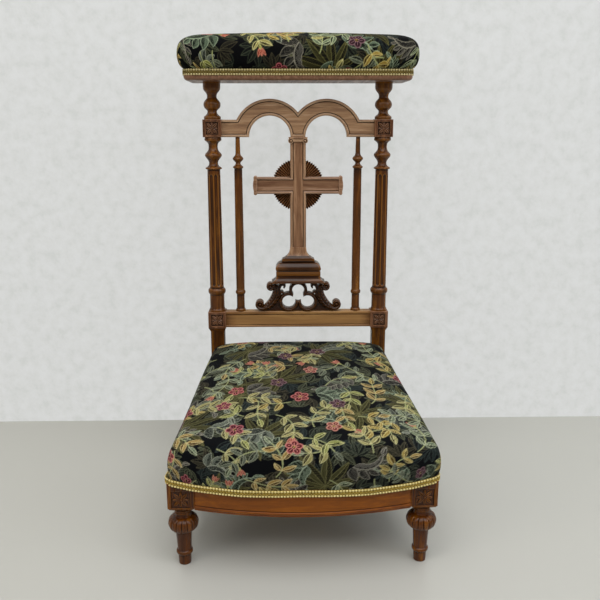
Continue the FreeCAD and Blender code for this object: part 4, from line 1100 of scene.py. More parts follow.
def rounded_plan(half_x, half_y, corner, y_centre, steps=8):
    ring = []
    for quarter, (sx, sy) in enumerate([(1, 1), (-1, 1), (-1, -1), (1, -1)]):
        for angle in np.linspace(quarter * 90, quarter * 90 + 90, steps):
            a = math.radians(angle)
            ring.append((sx * (half_x - corner) + corner * math.cos(a),
                         y_centre + sy * (half_y - corner) + corner * math.sin(a)))
    return ring


def board_rings(edge_line):
    half_x, half_y, corner = 225, 64, 14
    rings = []
    for step, z in edge_line:
        plan = rounded_plan(half_x - step, half_y - step, max(corner - step, 1), arm_middle_y)
        rings.append([(x, y, z) for x, y in split_long(plan, 8.0, 60.0)])
    return rings


shelf = lofted(board_rings([(6.0, 830.0), (5.2, 830.0), (2.2, 831.6), (0.6, 833.8), (0.0, 836.2),
                            (0.0, 840.8), (0.5, 842.0), (1.6, arm_board_top)]))
worn_and_shaded_piece("armrest_shelf", leaned(shelf), shelf_walnut, ["armrest_board"], 1)


# The woven verdure: leaves, stems, flowers and buds drawn on the cloth's own flat plan

def soft_edge(gap):
    """How much of the cloth a motif covers, by the distance inside its outline."""
    return np.clip(gap / 0.8 + 0.5, 0, 1)


class Design:
    """Colours of a cloth's points, painted by motifs placed in millimetres on the flat cloth."""

    def __init__(self, u, v, seed):
        self.u, self.v = u, v
        self.random = np.random.default_rng(seed)
        self.order = np.argsort(u, kind="stable")
        self.sorted_u = u[self.order]
        self.colour = np.tile(linear("#040609"), (len(u), 1))
        self.relief = np.zeros(len(u))

    def near(self, x, y, reach):
        low, high = np.searchsorted(self.sorted_u, [x - reach, x + reach])
        picked = self.order[low:high]
        return picked[np.abs(self.v[picked] - y) < reach]

    def lay_on(self, picked, shade, cover, relief):
        cover = cover[:, None]
        self.colour[picked] = self.colour[picked] * (1 - cover) + shade * cover
        self.relief[picked] = self.relief[picked] * (1 - cover[:, 0]) + relief * cover[:, 0]

    def leaf(self, x, y, angle, length, width, light, dark, line, vein=True, bend=0.0, relief=0.6,
             rimmed=True):
        """An oval leaf with a pale outline, a midrib, one half hatched light and the other dark."""
        picked = self.near(x + math.cos(angle) * length / 2, y + math.sin(angle) * length / 2,
                           length * 0.62 + width)
        if not len(picked):
            return
        dx, dy = self.u[picked] - x, self.v[picked] - y
        along = (dx * math.cos(angle) + dy * math.sin(angle)) / length
        across = -dx * math.sin(angle) + dy * math.cos(angle) - bend * length * along * (1 - along)
        half = width / 2 * np.sin(np.pi * np.clip(along, 0.001, 0.999) ** 0.85) ** 0.8
        gap = np.where((along > 0) & (along < 1), half - np.abs(across), -9)
        cover = soft_edge(gap)
        if not cover.any():
            return
        hatch = ((along * length - np.abs(across) * 0.9) / 3.4) % 1.0
        upper = across > 0
        shade = np.where(upper[:, None], linear(light), linear(dark))
        stroke = np.where(upper, hatch < 0.40, hatch < 0.22)[:, None]
        shade = np.where(stroke, np.array(linear(line)) * 0.35 + shade * 0.65, shade)
        if vein:
            shade = np.where((np.abs(across) < 0.7)[:, None], linear(line), shade)
        rim = np.clip(1.7 - gap, 0, 1)[:, None] * rimmed
        shade = shade * (1 - rim) + np.array(linear(line)) * rim
        self.lay_on(picked, shade, cover, relief)

    def stem(self, points, thick, code, relief=0.4):
        line = smooth_line([tuple(p) for p in points], 8)
        for (ax, ay), (bx, by) in zip(line, line[1:]):
            length = math.hypot(bx - ax, by - ay)
            picked = self.near((ax + bx) / 2, (ay + by) / 2, length / 2 + thick + 1)
            dx, dy = self.u[picked] - ax, self.v[picked] - ay
            t = np.clip((dx * (bx - ax) + dy * (by - ay)) / length ** 2, 0, 1)
            reach = np.hypot(dx - (bx - ax) * t, dy - (by - ay) * t)
            self.lay_on(picked, np.array(linear(code)), soft_edge(thick / 2 - reach), relief)
        return line

    def flower(self, x, y, radius, fill, dark, rim, turn=0.0, petals=5):
        """An open flower: round petals that part from each other, with pale rims and a dark heart."""
        picked = self.near(x, y, radius * 1.2)
        dx, dy = self.u[picked] - x, self.v[picked] - y
        reach = np.hypot(dx, dy)
        gap = np.full(len(picked), -9.0)
        vein = np.zeros(len(picked), bool)
        for k in range(petals):
            angle = turn + k * full_turn / petals
            along = dx * math.cos(angle) + dy * math.sin(angle) - radius * 0.58
            across = -dx * math.sin(angle) + dy * math.cos(angle)
            here = radius * 0.40 - np.hypot(along * 0.88, across * (1.02 - 0.12 * along / radius))
            vein |= (here > gap) & (np.abs(across) < 0.6) & (along < radius * 0.15)
            gap = np.maximum(gap, here)
        shade = np.array(linear(dark)) + (np.array(linear(fill)) - linear(dark)) * np.clip(
            reach / radius * 1.9 - 0.6, 0, 1)[:, None]
        shade = np.where(vein[:, None], linear(rim), shade)
        rim_cover = np.clip(2.2 - gap, 0, 1)[:, None]
        shade = shade * (1 - rim_cover) + np.array(linear(rim)) * rim_cover
        self.lay_on(picked, shade, soft_edge(gap), 1.0)
        heart = soft_edge(radius * 0.22 - reach)
        spoke = ((np.arctan2(dy, dx) * 5 / full_turn) % 1 < 0.35)[:, None]
        self.lay_on(picked, np.where(spoke, linear("#b89a58"), linear("#221a16")), heart, 1.0)

    def bud(self, x, y, angle, length, fill, rim):
        for turn, wide in ((0.42, 0.34), (-0.42, 0.34), (0.0, 0.42)):
            self.leaf(x, y, angle + turn, length * (1.0 if turn else 0.92), length * wide, fill, "#7a2a20",
                      rim, turn == 0.0, 0.0, 0.9)
        self.leaf(x - math.cos(angle) * length * 0.25, y - math.sin(angle) * length * 0.25, angle,
                  length * 0.5, length * 0.3, "#6d7a3e", "#3c4a2c", "#b4b070", True, 0.0, 0.9)

    def fan(self, x, y, angle, length, fingers, spread, light, dark, line):
        """A large hand-shaped leaf of narrow fingers."""
        order = sorted(range(fingers), key=lambda k: -abs(k - (fingers - 1) / 2))
        for k in order:
            turn = (k - (fingers - 1) / 2) / max(fingers - 1, 1) * spread
            size = length * (1 - 0.32 * abs(turn) / spread * 2)
            self.leaf(x, y, angle + turn, size, size * 0.24, light, dark, line, True, 0.10 * turn, 0.7)

    def scroll_leaf(self, x, y, angle, length, curl, light, dark, line, lobes=5):
        """A long curling leaf: broad pointed lobes in pairs along a bending rib, smaller to its tip."""
        step = length / lobes
        ribs, turns = [(x, y)], [angle]
        for k in range(lobes):
            turns.append(turns[-1] + curl / lobes)
            ribs.append((ribs[-1][0] + math.cos(turns[-1]) * step, ribs[-1][1] + math.sin(turns[-1]) * step))
        for inner in (0.0, 2.0):
            for k in range(lobes):
                size = length * (0.50 - 0.28 * k / (lobes - 1))
                for side in (1, -1):
                    self.leaf(*ribs[k], turns[k] + side * 0.62, size - inner, size * 0.54 - 2 * inner,
                              light if side > 0 else dark, dark, line, False, 0.34 * side, 0.6, inner == 0)
        self.leaf(*ribs[-1], turns[-1], length * 0.3, length * 0.15, light, dark, line, True, 0.3)
        self.stem(ribs, 1.8, line)


leaf_tones = [("#8c8650", "#38321a", "#beb886"), ("#907836", "#4a3614", "#c2b478"),
              ("#5e6a54", "#283024", "#acb292"), ("#92743a", "#4e3618", "#c4b480"),
              ("#4a5244", "#20241e", "#888c76"), ("#767c3c", "#363a1a", "#c0be84")]
dim_tones = [("#20251f", "#0d1010", "#454a3c"), ("#25241c", "#11110e", "#4a4636"),
             ("#181f20", "#0a0d0f", "#343c38"), ("#2c3026", "#131611", "#5a5d48")]
scroll_tones = [("#545a50", "#262a26", "#9a9e8c"), ("#484642", "#22211f", "#8a8678"),
                ("#4e5a4a", "#20281f", "#94a088")]


def spots(design, low, high, spacing):
    """Places on a jittered staggered grid."""
    places = []
    rows = int((high[1] - low[1]) / spacing) + 1
    for r in range(rows + 1):
        for c in range(int((high[0] - low[0]) / spacing) + 2):
            x = low[0] + (c + 0.5 * (r % 2)) * spacing
            y = low[1] + r * spacing
            jitter = (design.random.random(2) - 0.5) * spacing * 0.7
            places.append((x + jitter[0], y + jitter[1]))
    design.random.shuffle(places)
    return places


def vine(design, x, y, angle, length, swing, tones, leaf_size):
    """A stem that winds from side to side, with leaves in pairs along it and one at its tip."""
    step, run, points = 9.0, 0.0, [(x, y)]
    phase = design.random.random() * full_turn
    while run < length:
        turn = angle + swing * math.sin(run / 42.0 + phase)
        x += math.cos(turn) * step
        y += math.sin(turn) * step
        points.append((x, y))
        run += step
    line = design.stem(points, 1.8, "#a0a474")
    travelled, pitch = leaf_size * 0.3, leaf_size * 0.95
    light, dark, rim = tones[design.random.integers(len(tones))]
    for (ax, ay), (bx, by) in zip(line, line[1:]):
        travelled += math.hypot(bx - ax, by - ay)
        if travelled > pitch:
            travelled = 0.0
            for side in (1, -1):
                size = leaf_size * (0.82 + 0.36 * design.random.random())
                lean_out = side * (0.75 + 0.3 * design.random.random())
                design.leaf(bx, by, math.atan2(by - ay, bx - ax) + lean_out, size, size * 0.46, light, dark,
                            rim, True, 0.18 * side)
    return x, y, math.atan2(y - points[-2][1], x - points[-2][0])


def verdure(u, v, low, high, seed, flower_share=1.0):
    """The whole design on its blue-black ground: dim leaves, fans, scrolling leaves, sprigs, flowers."""
    design = Design(u, v, seed)
    random = design.random
    for x, y in spots(design, low, high, 34.0):
        light, dark, rim = dim_tones[random.integers(len(dim_tones))]
        angle = random.random() * full_turn
        for turn in (-0.9, 0.9, -0.3, 0.3):
            size = 26 + 12 * random.random()
            design.leaf(x, y, angle + turn, size, size * 0.42, light, dark, rim, True, 0.2 * turn, 0.15)
    for x, y in spots(design, low, high, 165.0):
        design.fan(x, y, random.random() * full_turn, 74 + 16 * random.random(), 9, 4.6,
                   "#38371f", "#201f12", "#66633e")
    for x, y in spots(design, low, high, 96.0):
        tone = scroll_tones[random.integers(len(scroll_tones))]
        curl = (1.2 + 1.6 * random.random()) * (1 if random.random() < 0.5 else -1)
        design.scroll_leaf(x, y, random.random() * full_turn, 58 + 20 * random.random(), curl, *tone)
    for x, y in spots(design, low, high, 66.0):
        end_x, end_y, turn = vine(design, x, y, random.random() * full_turn, 44 + 36 * random.random(), 0.9,
                                  leaf_tones, 26.0)
        if random.random() < 0.26 * flower_share:
            design.bud(end_x, end_y, turn, 19.0, "#8a4034", "#c88a74")
        else:
            tip = leaf_tones[random.integers(len(leaf_tones))]
            design.leaf(end_x, end_y, turn, 25.0, 11.5, *tip)
    kinds = [("#6a2226", "#2c0c10", "#c87c76"), ("#5c1e28", "#260a12", "#b86e72"),
             ("#40242c", "#1c0c12", "#84666c"), ("#7c382e", "#401614", "#cc9080")]
    for x, y in spots(design, low, high, 66.0):
        if random.random() < 0.4 * flower_share:
            fill, dark, rim = kinds[random.integers(len(kinds))]
            design.flower(x, y, 14.0 + 3.0 * random.random(), fill, dark, rim, random.random() * full_turn)
    return design


def stuffing_swell(points, faces, most, voxel, steps=20, pressure=4.0):
    """How far each point of a stuffed form moves when it is blown up as cloth, beyond the common swelling."""
    mesh = bpy.data.meshes.new("stuffing_form")
    mesh.from_pydata((points * mm).tolist(), [], faces)
    form = linked("stuffing_form", mesh)
    scene = bpy.context.scene
    remesh = form.modifiers.new("voxels", "REMESH")
    remesh.mode, remesh.voxel_size = "VOXEL", voxel * mm
    bpy.context.view_layer.update()
    form.data = bpy.data.meshes.new_from_object(form.evaluated_get(bpy.context.evaluated_depsgraph_get()))
    form.modifiers.clear()
    before = numbers(form.data.vertices, "co")
    cloth = form.modifiers.new("cloth", "CLOTH")
    cloth.settings.use_pressure = True
    cloth.settings.uniform_pressure_force = pressure
    cloth.settings.effector_weights.gravity = 0
    for step in range(1, steps + 1):
        scene.frame_set(step)
    swollen = bpy.data.meshes.new_from_object(form.evaluated_get(bpy.context.evaluated_depsgraph_get()))
    move = (numbers(swollen.vertices, "co") - before) / mm
    scene.frame_set(1)
    drop(form)
    reach = np.linalg.norm(move, axis=1)
    move *= min(1.0, most / np.percentile(reach, 95))
    move *= np.minimum(1, most / np.maximum(np.linalg.norm(move, axis=1), 1e-9))[:, None]
    tree = KDTree(len(before))
    for index, place in enumerate(before):
        tree.insert(place, index)
    tree.balance()
    near = np.array([[(index, reach) for _, index, reach in tree.find_n(place, 4)] for place in points * mm])
    weight = 1 / (near[:, :, 1] + 0.5 * mm)
    weight /= weight.sum(1)[:, None]
    return (move[near[:, :, 0].astype(int)] * weight[:, :, None]).sum(1)


def cloth_piece(name, points, rows, columns, u, v, design, foot_rings, free, settle, voxel):
    """A covering on a grid of points, closed underneath, that carries its design and its lay.

    free says how far each point may follow the stuffing's swelling, from 0 at the tacked edge to 1.
    """
    faces = grid_faces(rows, columns)
    rim = grid_rim(rows, columns)
    previous, all_points = rim, [points]
    start = len(points)
    for ring in foot_rings(points[rim]):
        fresh = list(range(start, start + len(rim)))
        for i in range(len(rim)):
            j = (i + 1) % len(rim)
            faces.append([previous[j], previous[i], fresh[i], fresh[j]])
        all_points.append(ring)
        start += len(rim)
        previous = fresh
    all_points.append(np.array([all_points[-1].mean(0)]))
    faces += [[previous[(i + 1) % len(rim)], previous[i], start] for i in range(len(rim))]
    everything = np.vstack(all_points)
    most = 6.0
    move = stuffing_swell(everything, faces, most, voxel)[:len(points)]
    out = np.linalg.norm(move, axis=1)
    beyond_even = free * (1 - out.mean() / np.maximum(out, 1e-6))
    everything[:len(points)] = settle(points + move * beyond_even[:, None])
    piece = make_mesh(name, (everything, faces), tapestry, 180)
    mesh = piece.data
    extra = len(everything) - len(points)
    shade = np.vstack([design.colour, np.tile(linear("#14181b"), (extra, 1))])
    flat = np.column_stack([u, v, np.zeros(len(u))])
    for layers, kept, kind, part, values in (
            (mesh.color_attributes, "design", "FLOAT_COLOR", "color",
             np.column_stack([shade, np.ones(len(shade))])),
            (mesh.attributes, "relief", "FLOAT", "value", np.concatenate([design.relief, np.zeros(extra)])),
            (mesh.attributes, "lay", "FLOAT_VECTOR", "vector",
             np.vstack([flat, np.tile(flat[0], (extra, 1))]))):
        layers.new(kept, kind, "POINT").data.foreach_set(part, values.ravel())
    return piece


# Seat cushion: a square grid laid over the bowed, splayed plan and down its sides

seat_crown_front, seat_crown_rear = 76.0, 124.0
seat_front = leg_y - leg_half
seat_rear = post_y + stile_half
braid_low = [0, 60, 107, 186, 216, 232], [154.5, 153.0, 152.5, 157.0, 161.0, 163.5]
seat_brow = 232.0
seat_middle_y = (seat_front + seat_rear - bow_depth) / 2
seat_half_depth = seat_rear - seat_middle_y
seat_sides = smooth_line([(-0.1, -0.13), (-0.3, -0.05), (-0.1, 0.04), (0.6, 0.13), (1.2, 0.24), (1.3, 0.36),
                          (0.9, 0.47), (-0.2, 0.57), (-2.0, 0.67), (-4.2, 0.77), (-7.8, 0.865),
                          (-14.0, 0.935), (-23.0, 0.97), (-38.0, 0.99), (-62.0, 1.002), (-95.0, 1.012),
                          (-130.0, 1.02),
                          (-180.0, 1.026), (0.2 - seat_half_depth, 1.028)], 6)[::-1]
run = np.concatenate([[0], np.cumsum(np.linalg.norm(np.diff(seat_sides * [1, 100], axis=0), axis=1))])
dome_length = run.copy()
run /= run[-1]


def seat_plan():
    """Plan of the seat's edge as four sides between its corners: front, right, rear and left."""
    corner, rear_corner = 16.0, 8.0
    straight, rear_half = seat_brow - corner, post_x + stile_half
    front = [(x, seat_front - bow_depth * (1 - (x / straight) ** 2)) for x in
             np.linspace(-straight, straight, 61)]
    turn = [(straight + corner * math.sin(a), seat_front + corner - corner * math.cos(a))
            for a in np.linspace(0, math.pi / 2, 9)]
    back_turn = [(rear_half - rear_corner + rear_corner * math.cos(a),
                  seat_rear - rear_corner + rear_corner * math.sin(a))
                 for a in np.linspace(0, math.pi / 2, 7)]
    front = [(-x, y) for x, y in turn[4::-1]] + front[1:-1] + turn[:5]
    right = turn[4:] + back_turn[:4]
    rear = back_turn[3:] + [(-x, y) for x, y in back_turn[:2:-1]]
    left = [(-x, y) for x, y in right[::-1]]
    return [np.array(side) for side in (front, right, rear, left)]


def side_place(line, share):
    """Points at shares of a line's length."""
    length = np.concatenate([[0], np.cumsum(np.linalg.norm(np.diff(line, axis=0), axis=1))])
    length /= length[-1]
    return np.column_stack([np.interp(share, length, line[:, 0]), np.interp(share, length, line[:, 1])])


def seat_grid(count):
    """Grid points over the seat, with their places on the flat cloth."""
    line = np.linspace(-1, 1, count)
    a, b = [g.ravel() for g in np.meshgrid(line, line)]
    level = np.maximum(np.abs(a), np.abs(b))
    safe = np.maximum(level, 1e-9)
    edge_a, edge_b = a / safe, b / safe
    front, right, rear, left = seat_plan()
    border = np.zeros((len(a), 2))
    on_front = edge_b <= -1 + 1e-9
    on_rear = ~on_front & (edge_b >= 1 - 1e-9)
    on_right = ~on_front & ~on_rear & (edge_a > 0)
    on_left = ~on_front & ~on_rear & (edge_a <= 0)
    border[on_front] = side_place(front, (edge_a[on_front] + 1) / 2)
    border[on_right] = side_place(right, (edge_b[on_right] + 1) / 2)
    border[on_rear] = side_place(rear, (1 - edge_a[on_rear]) / 2)
    border[on_left] = side_place(left, (1 - edge_b[on_left]) / 2)
    grow = np.interp(level, run, seat_sides[:, 0])
    share = np.interp(level, run, seat_sides[:, 1])
    scale = np.clip(1 + grow / seat_half_depth, 0, None)
    out = border - [0, seat_middle_y]
    round_y = 240
    ellipse = out / np.hypot(out[:, 0] / seat_brow, out[:, 1] / round_y)[:, None]
    softness = np.clip(1 - scale, 0, 1)[:, None] ** 1.2 * 0.4
    out = out * (1 - softness) + ellipse * softness
    x = out[:, 0] * scale
    y = seat_middle_y + out[:, 1] * scale
    climb = (seat_crown_rear - seat_crown_front) / (seat_rear - seat_front)
    height = frame_top + share * (seat_crown_front + climb * (y - seat_front))
    side_droop, side_reach, rear_droop, rear_start, rear_reach = 10, 190, 5, 120, 76
    on_top = np.clip(share, 0, 1) ** 2
    droop = side_droop * np.clip(np.abs(x) / side_reach, 0, 1) ** 5 * on_top
    droop += rear_droop * np.clip((y - rear_start) / rear_reach, 0, 1) ** 2 * on_top
    edge_fall, behind_braid = 100, 2.5
    turned_in = np.maximum(frame_top + share * edge_fall, np.interp(np.abs(x), *braid_low) + behind_braid)
    height = np.where(share < 0, turned_in, height - droop)
    to_right, fades_from, fades_over = 3.0, 60, 200
    x = x + to_right * np.clip(share * 4, 0, 1) * np.clip((fades_from - y) / fades_over, 0, 1)
    surface = np.interp(level, run, dome_length)
    extra = surface - scale * seat_half_depth
    squareness = 6
    nx = np.sign(out[:, 0]) * np.abs(out[:, 0] / seat_brow) ** (squareness - 1)
    ny = np.sign(out[:, 1]) * np.abs(out[:, 1] / round_y) ** (squareness - 1)
    size = np.maximum(np.hypot(nx, ny), 1e-9)
    u = x + extra * nx / size
    v = y - seat_middle_y + extra * ny / size
    return np.column_stack([x, y, height]), u, v


def clear_posts(points, gap=1.0):
    """Press cloth that meets a back post against the post's two inner faces."""
    z = points[:, 2]
    shift = np.where(z > frame_top, (z - frame_top) * math.sin(rake), 0)
    dx = np.abs(points[:, 0]) - (post_x - stile_half - gap)
    dy = points[:, 1] - (post_y - stile_half - gap + shift)
    inside = (dx > 0) & (dy > 0)
    to_side = inside & (dx < dy)
    to_front = inside & ~to_side
    points[to_side, 0] -= np.sign(points[to_side, 0]) * dx[to_side]
    points[to_front, 1] -= dy[to_front]
    return points


seat_count = 420
seat_points, seat_u, seat_v = seat_grid(seat_count)
seat_points = clear_posts(seat_points)


def seat_foot(rim):
    """The cloth's turned-in edge, and its underside over the webbing."""
    cloth_thick, turned_under, board_gap, hollow = 1.2, 6, 0.3, 4.6
    away = rim - [0, seat_middle_y, 0]
    away[:, 2] = 0
    away /= np.linalg.norm(away, axis=1)[:, None]
    inner = rim - away * cloth_thick
    up, under = inner.copy(), inner - away * turned_under
    up[:, 2] = frame_top + board_gap
    under[:, 2] = frame_top + hollow
    return [inner, up, under]


design = verdure(seat_u, seat_v, (-330, -340), (330, 330), 7)
cover = cloth_piece("tapestry_seat_cover", seat_points, seat_count, seat_count, seat_u, seat_v, design,
                    seat_foot, np.clip((seat_points[:, 2] - frame_top - 8) / 30, 0, 1), clear_posts, 6.0)
finish_piece(cover, ["seat_cover", "seat_stuffing"])


# Armrest cushion: a straight grid over a spine, rounded at both ends

arm_sides = smooth_line([(-0.8, 842.0), (-0.4, 850.0), (5.2, 854.6), (9.4, 861.0), (11.4, 870.0),
                         (11.8, 880.0), (10.8, 890.0), (7.6, 899.5), (1.0, 907.4), (-8.0, 912.8),
                         (-19.0, 916.6),
                         (-35.0, 919.0), (-52.0, 919.8), (-62.6, 919.9)], 8)[::-1]
arm_run = np.concatenate([[0], np.cumsum(np.linalg.norm(np.diff(arm_sides, axis=0), axis=1))])
arm_reach = arm_run[-1]
arm_half_depth, arm_spine = 62.6, 161.0


def arm_grid(along_count, across_count):
    """Grid points over the armrest cushion, with their places on the flat cloth."""
    u_line = np.linspace(-arm_spine - arm_reach, arm_spine + arm_reach, along_count)
    v_line = np.linspace(-arm_reach, arm_reach, across_count)
    u, v = [g.ravel() for g in np.meshgrid(u_line, v_line)]
    beyond = np.sign(u) * np.clip(np.abs(u) - arm_spine, 0, None) / arm_reach
    b = v / arm_reach
    level = np.maximum(np.abs(beyond), np.abs(b))
    squareness = 9.0
    norm = (np.abs(beyond) ** squareness + np.abs(b) ** squareness) ** (1 / squareness)
    norm = np.maximum(norm, 1e-9)
    offset = np.interp(level * arm_reach, arm_run, arm_sides[:, 0]) + arm_half_depth
    height = np.interp(level * arm_reach, arm_run, arm_sides[:, 1])
    x = np.clip(u, -arm_spine, arm_spine) + beyond / norm * offset
    y = b / norm * offset + arm_middle_y
    return np.column_stack([x, y, height]), u, v


arm_columns, arm_rows = 460, 210
arm_points, arm_u, arm_v = arm_grid(arm_columns, arm_rows)


def arm_foot(rim):
    """The cloth's turned-in edge on the board, where it is tacked."""
    x, y, z = rim.T
    upright_y = (y - post_y) * math.cos(rake) - (z - frame_top) * math.sin(rake)
    return [lean(np.column_stack([x * 0.97, arm_middle_y + (upright_y - arm_middle_y) * 0.9,
                                  np.full(len(x), arm_board_top + 0.2)]))]


# The armrest's cloth is darker and stronger in contrast: soiled by hands, and painted shade
design = verdure(arm_u, arm_v, (-310, -150), (310, 150), 23, 0.6)
middle_light, contrast, middle_kept = 0.1, 1.25, 0.072
design.colour = (design.colour / middle_light) ** contrast * middle_kept

cover = cloth_piece("tapestry_armrest_cover", lean(arm_points), arm_rows, arm_columns, arm_u, arm_v, design,
                    arm_foot, np.clip((arm_points[:, 2] - arm_board_top - 12) / 20, 0, 1),
                    lambda points: points, 5.0)
finish_piece(cover, ["armrest_cover", "armrest_stuffing"])


# Gimp: a woven band with two rows of knots and a zigzag cord, repeated along its path

def repeat_along():
    """Copies of one piece along a path, at a spacing, each turned to the path's run."""
    tree, names = node_group("repeat_along", [
        ("Piece", "NodeSocketObject", None), ("Spacing", "NodeSocketFloat", 0.006),
        ("Material", "NodeSocketMaterial", None)])
    given = add(tree, "NodeGroupInput")
    path = add(tree, "GeometryNodeMeshToCurve", {"Mesh": given.outputs["Geometry"]})
    spaced = add(tree, "GeometryNodeResampleCurve", {"Curve": path.outputs["Curve"],
                                                     "Length": given.outputs["Spacing"]}, mode="LENGTH")
    tangent = add(tree, "GeometryNodeInputTangent")
    turned_to = add(tree, "FunctionNodeAlignRotationToVector", {"Vector": tangent.outputs[0]},
                    axis="X", pivot_axis="Z")
    piece_info = add(tree, "GeometryNodeObjectInfo", {"Object": given.outputs["Piece"]})
    copies = add(tree, "GeometryNodeInstanceOnPoints", {
        "Points": spaced.outputs["Curve"], "Instance": piece_info.outputs["Geometry"],
        "Rotation": turned_to.outputs["Rotation"]})
    real = add(tree, "GeometryNodeRealizeInstances", {"Geometry": copies.outputs["Instances"]})
    dressed = add(tree, "GeometryNodeSetMaterial", {"Geometry": real.outputs["Geometry"],
                                                    "Material": given.outputs["Material"]})
    add(tree, "NodeGroupOutput", {"Geometry": dressed.outputs["Geometry"]})
    return tree, names


along_tree, along_names = repeat_along()


def path_object(name, points, closed):
    """A line of edges through points."""
    mesh = bpy.data.meshes.new(name)
    edges = [(i, i + 1) for i in range(len(points) - 1)]
    if closed:
        edges.append((len(points) - 1, 0))
    mesh.from_pydata((np.asarray(points) * mm).tolist(), edges, [])
    return linked(name, mesh)


def knot():
    """A flattened knot of thread."""
    rings = []
    angle = np.arange(8) * full_turn / 8
    for y, radius in ((0.9, 0.5), (0.7, 1.4), (0.0, 1.95), (-0.8, 1.5), (-1.15, 0.6)):
        rings.append(np.column_stack([radius * 1.1 * np.cos(angle), np.full(8, y), radius * np.sin(angle)]))
    return lofted(rings)


def zigzag(pitch, rise, thick):
    """One V of the cord between the rows of knots."""
    rings = []
    angle = np.arange(6) * full_turn / 6
    for x, z in ((-pitch / 2, -rise), (-pitch / 4, 0), (0, rise), (pitch / 4, 0), (pitch / 2, -rise)):
        rings.append(np.column_stack([np.full(6, x), -0.4 + thick * np.cos(angle),
                                      z + thick * np.sin(angle)]))
    return lofted(rings)


def band_rings(path, outward, half_height, thick):
    """Rings of the band's rounded section along its path."""
    section = [(-0.2, -half_height + 0.5), (thick * 0.7, -half_height), (thick, -half_height + 0.9),
               (thick, half_height - 0.9), (thick * 0.7, half_height), (-0.2, half_height - 0.5)]
    rings = []
    for point, out in zip(path, outward):
        rings.append([(point[0] + out[0] * d, point[1] + out[1] * d, point[2] + z) for d, z in section])
    return np.array(rings)


gimp_half_height, gimp_thick, knot_row, knot_pitch = 6.2, 1.5, 4.3, 5.2


def gimp(name, path, closed, slant, finishes, nodes):
    """Braid along a path of points on the cloth, in the upright frame; slant tips it with the back."""
    ground, bead, cord = finishes
    path = np.asarray(path, float)
    ahead = np.roll(path, -1, axis=0) - np.roll(path, 1, axis=0)
    if not closed:
        ahead[0], ahead[-1] = path[1] - path[0], path[-1] - path[-2]
    ahead[:, 2] = 0
    ahead /= np.linalg.norm(ahead, axis=1)[:, None]
    outward = np.column_stack([ahead[:, 1], -ahead[:, 0]])
    tip = lean if slant else (lambda points: points)
    rings = band_rings(path, outward, gimp_half_height, gimp_thick)
    if closed:
        rings = np.concatenate([rings, rings[:1]])
        rows, columns = rings.shape[:2]
        faces = grid_faces(rows - 1, columns, True)
        last = (rows - 2) * columns
        for c in range(columns):
            d = (c + 1) % columns
            faces.append([last + c, last + d, d, c])
        band = facing_out(rings[:-1].reshape(-1, 3), faces)
    else:
        band = lofted(rings)
    parts = [make_mesh(name + "_band", (tip(band[0]), band[1]), ground, 60)]
    out = np.column_stack([outward * 1.9, np.zeros(len(path))])
    for label, shell, rise, finish in (("upper", knot(), knot_row, bead), ("lower", knot(), -knot_row, bead),
                                       ("cord", zigzag(knot_pitch, 1.9, 0.62), 0.0, cord)):
        source = make_mesh("thread_piece", shell, None)
        line = path_object("thread_line", tip(path + out + [0, 0, rise]), closed)
        parts.append(run_nodes(name + "_" + label, line, along_tree, along_names,
                               {"Piece": source, "Spacing": knot_pitch * mm, "Material": finish}))
        drop(source, line)
    for part in parts[1:]:
        part.data.shade_smooth()
    for part in parts:
        add_wear_and_shade(part, 0)
        finish_piece(part, nodes if part is parts[0] else [])


def seat_gimp_path():
    """The cushion's foot, where the braid dips along the front and rises at the corners."""
    front, right, _, left = seat_plan()
    dense = []
    for line in (left, front, right):
        keep = side_place(line, np.linspace(0, 1, 60))
        dense += [tuple(p) for p in keep[:-1]]
    dense.append(tuple(right[-1]))
    points = np.array(dense)
    reach = np.abs(points[:, 0])
    on_side = points[:, 1] > seat_front + 4
    low = np.interp(reach, *braid_low)
    fall = np.clip((points[:, 1] - seat_front) / 60, 0, 1)
    side_low = braid_low[1][-1] - 5.5 * fall
    low = np.where(on_side, side_low, low)
    outside_cloth = 1.8
    scale = 1 + outside_cloth / seat_half_depth
    x = points[:, 0] * scale
    y = seat_middle_y + (points[:, 1] - seat_middle_y) * scale
    keep = y < post_y - stile_half - 3
    return np.column_stack([x, y, low + gimp_half_height])[keep]


gimp("gimp_seat", seat_gimp_path(), False, False, bright_gimp, ["seat_gimp"])
arm_path = rounded_plan(224.2, 63.2, 16.0, arm_middle_y, 10)
arm_path = [p for i, p in enumerate(arm_path) if i == 0 or math.dist(p, arm_path[i - 1]) > 0.01]
gimp("gimp_armrest", [(x, y, 845.2) for x, y in arm_path], True, True, soiled_shaded_gimp, ["armrest_gimp"])


# Webbing woven over and under, hessian, braces, dowels and rails

def strap(centre, half_width, start, end, crossings, first_over, along_y):
    """One webbing strap that passes over and under the straps it crosses."""
    rows, half_wave = [], 34
    ring = [(-half_width, -0.5), (0, -0.55), (half_width, -0.5), (half_width, 0.5), (0, 0.55),
            (-half_width, 0.5)]
    for place in np.linspace(start, end, 60):
        wave = sum((-1) ** (k + first_over) * math.exp(-((place - c) / half_wave) ** 2)
                   for k, c in enumerate(crossings))
        z = frame_top + 1.45 + 0.68 * max(-1, min(1, wave))
        if along_y:
            rows.append([(centre + w, place, z + h) for w, h in ring])
        else:
            rows.append([(place, centre + w, z + h) for w, h in ring])
    return lofted(rows)


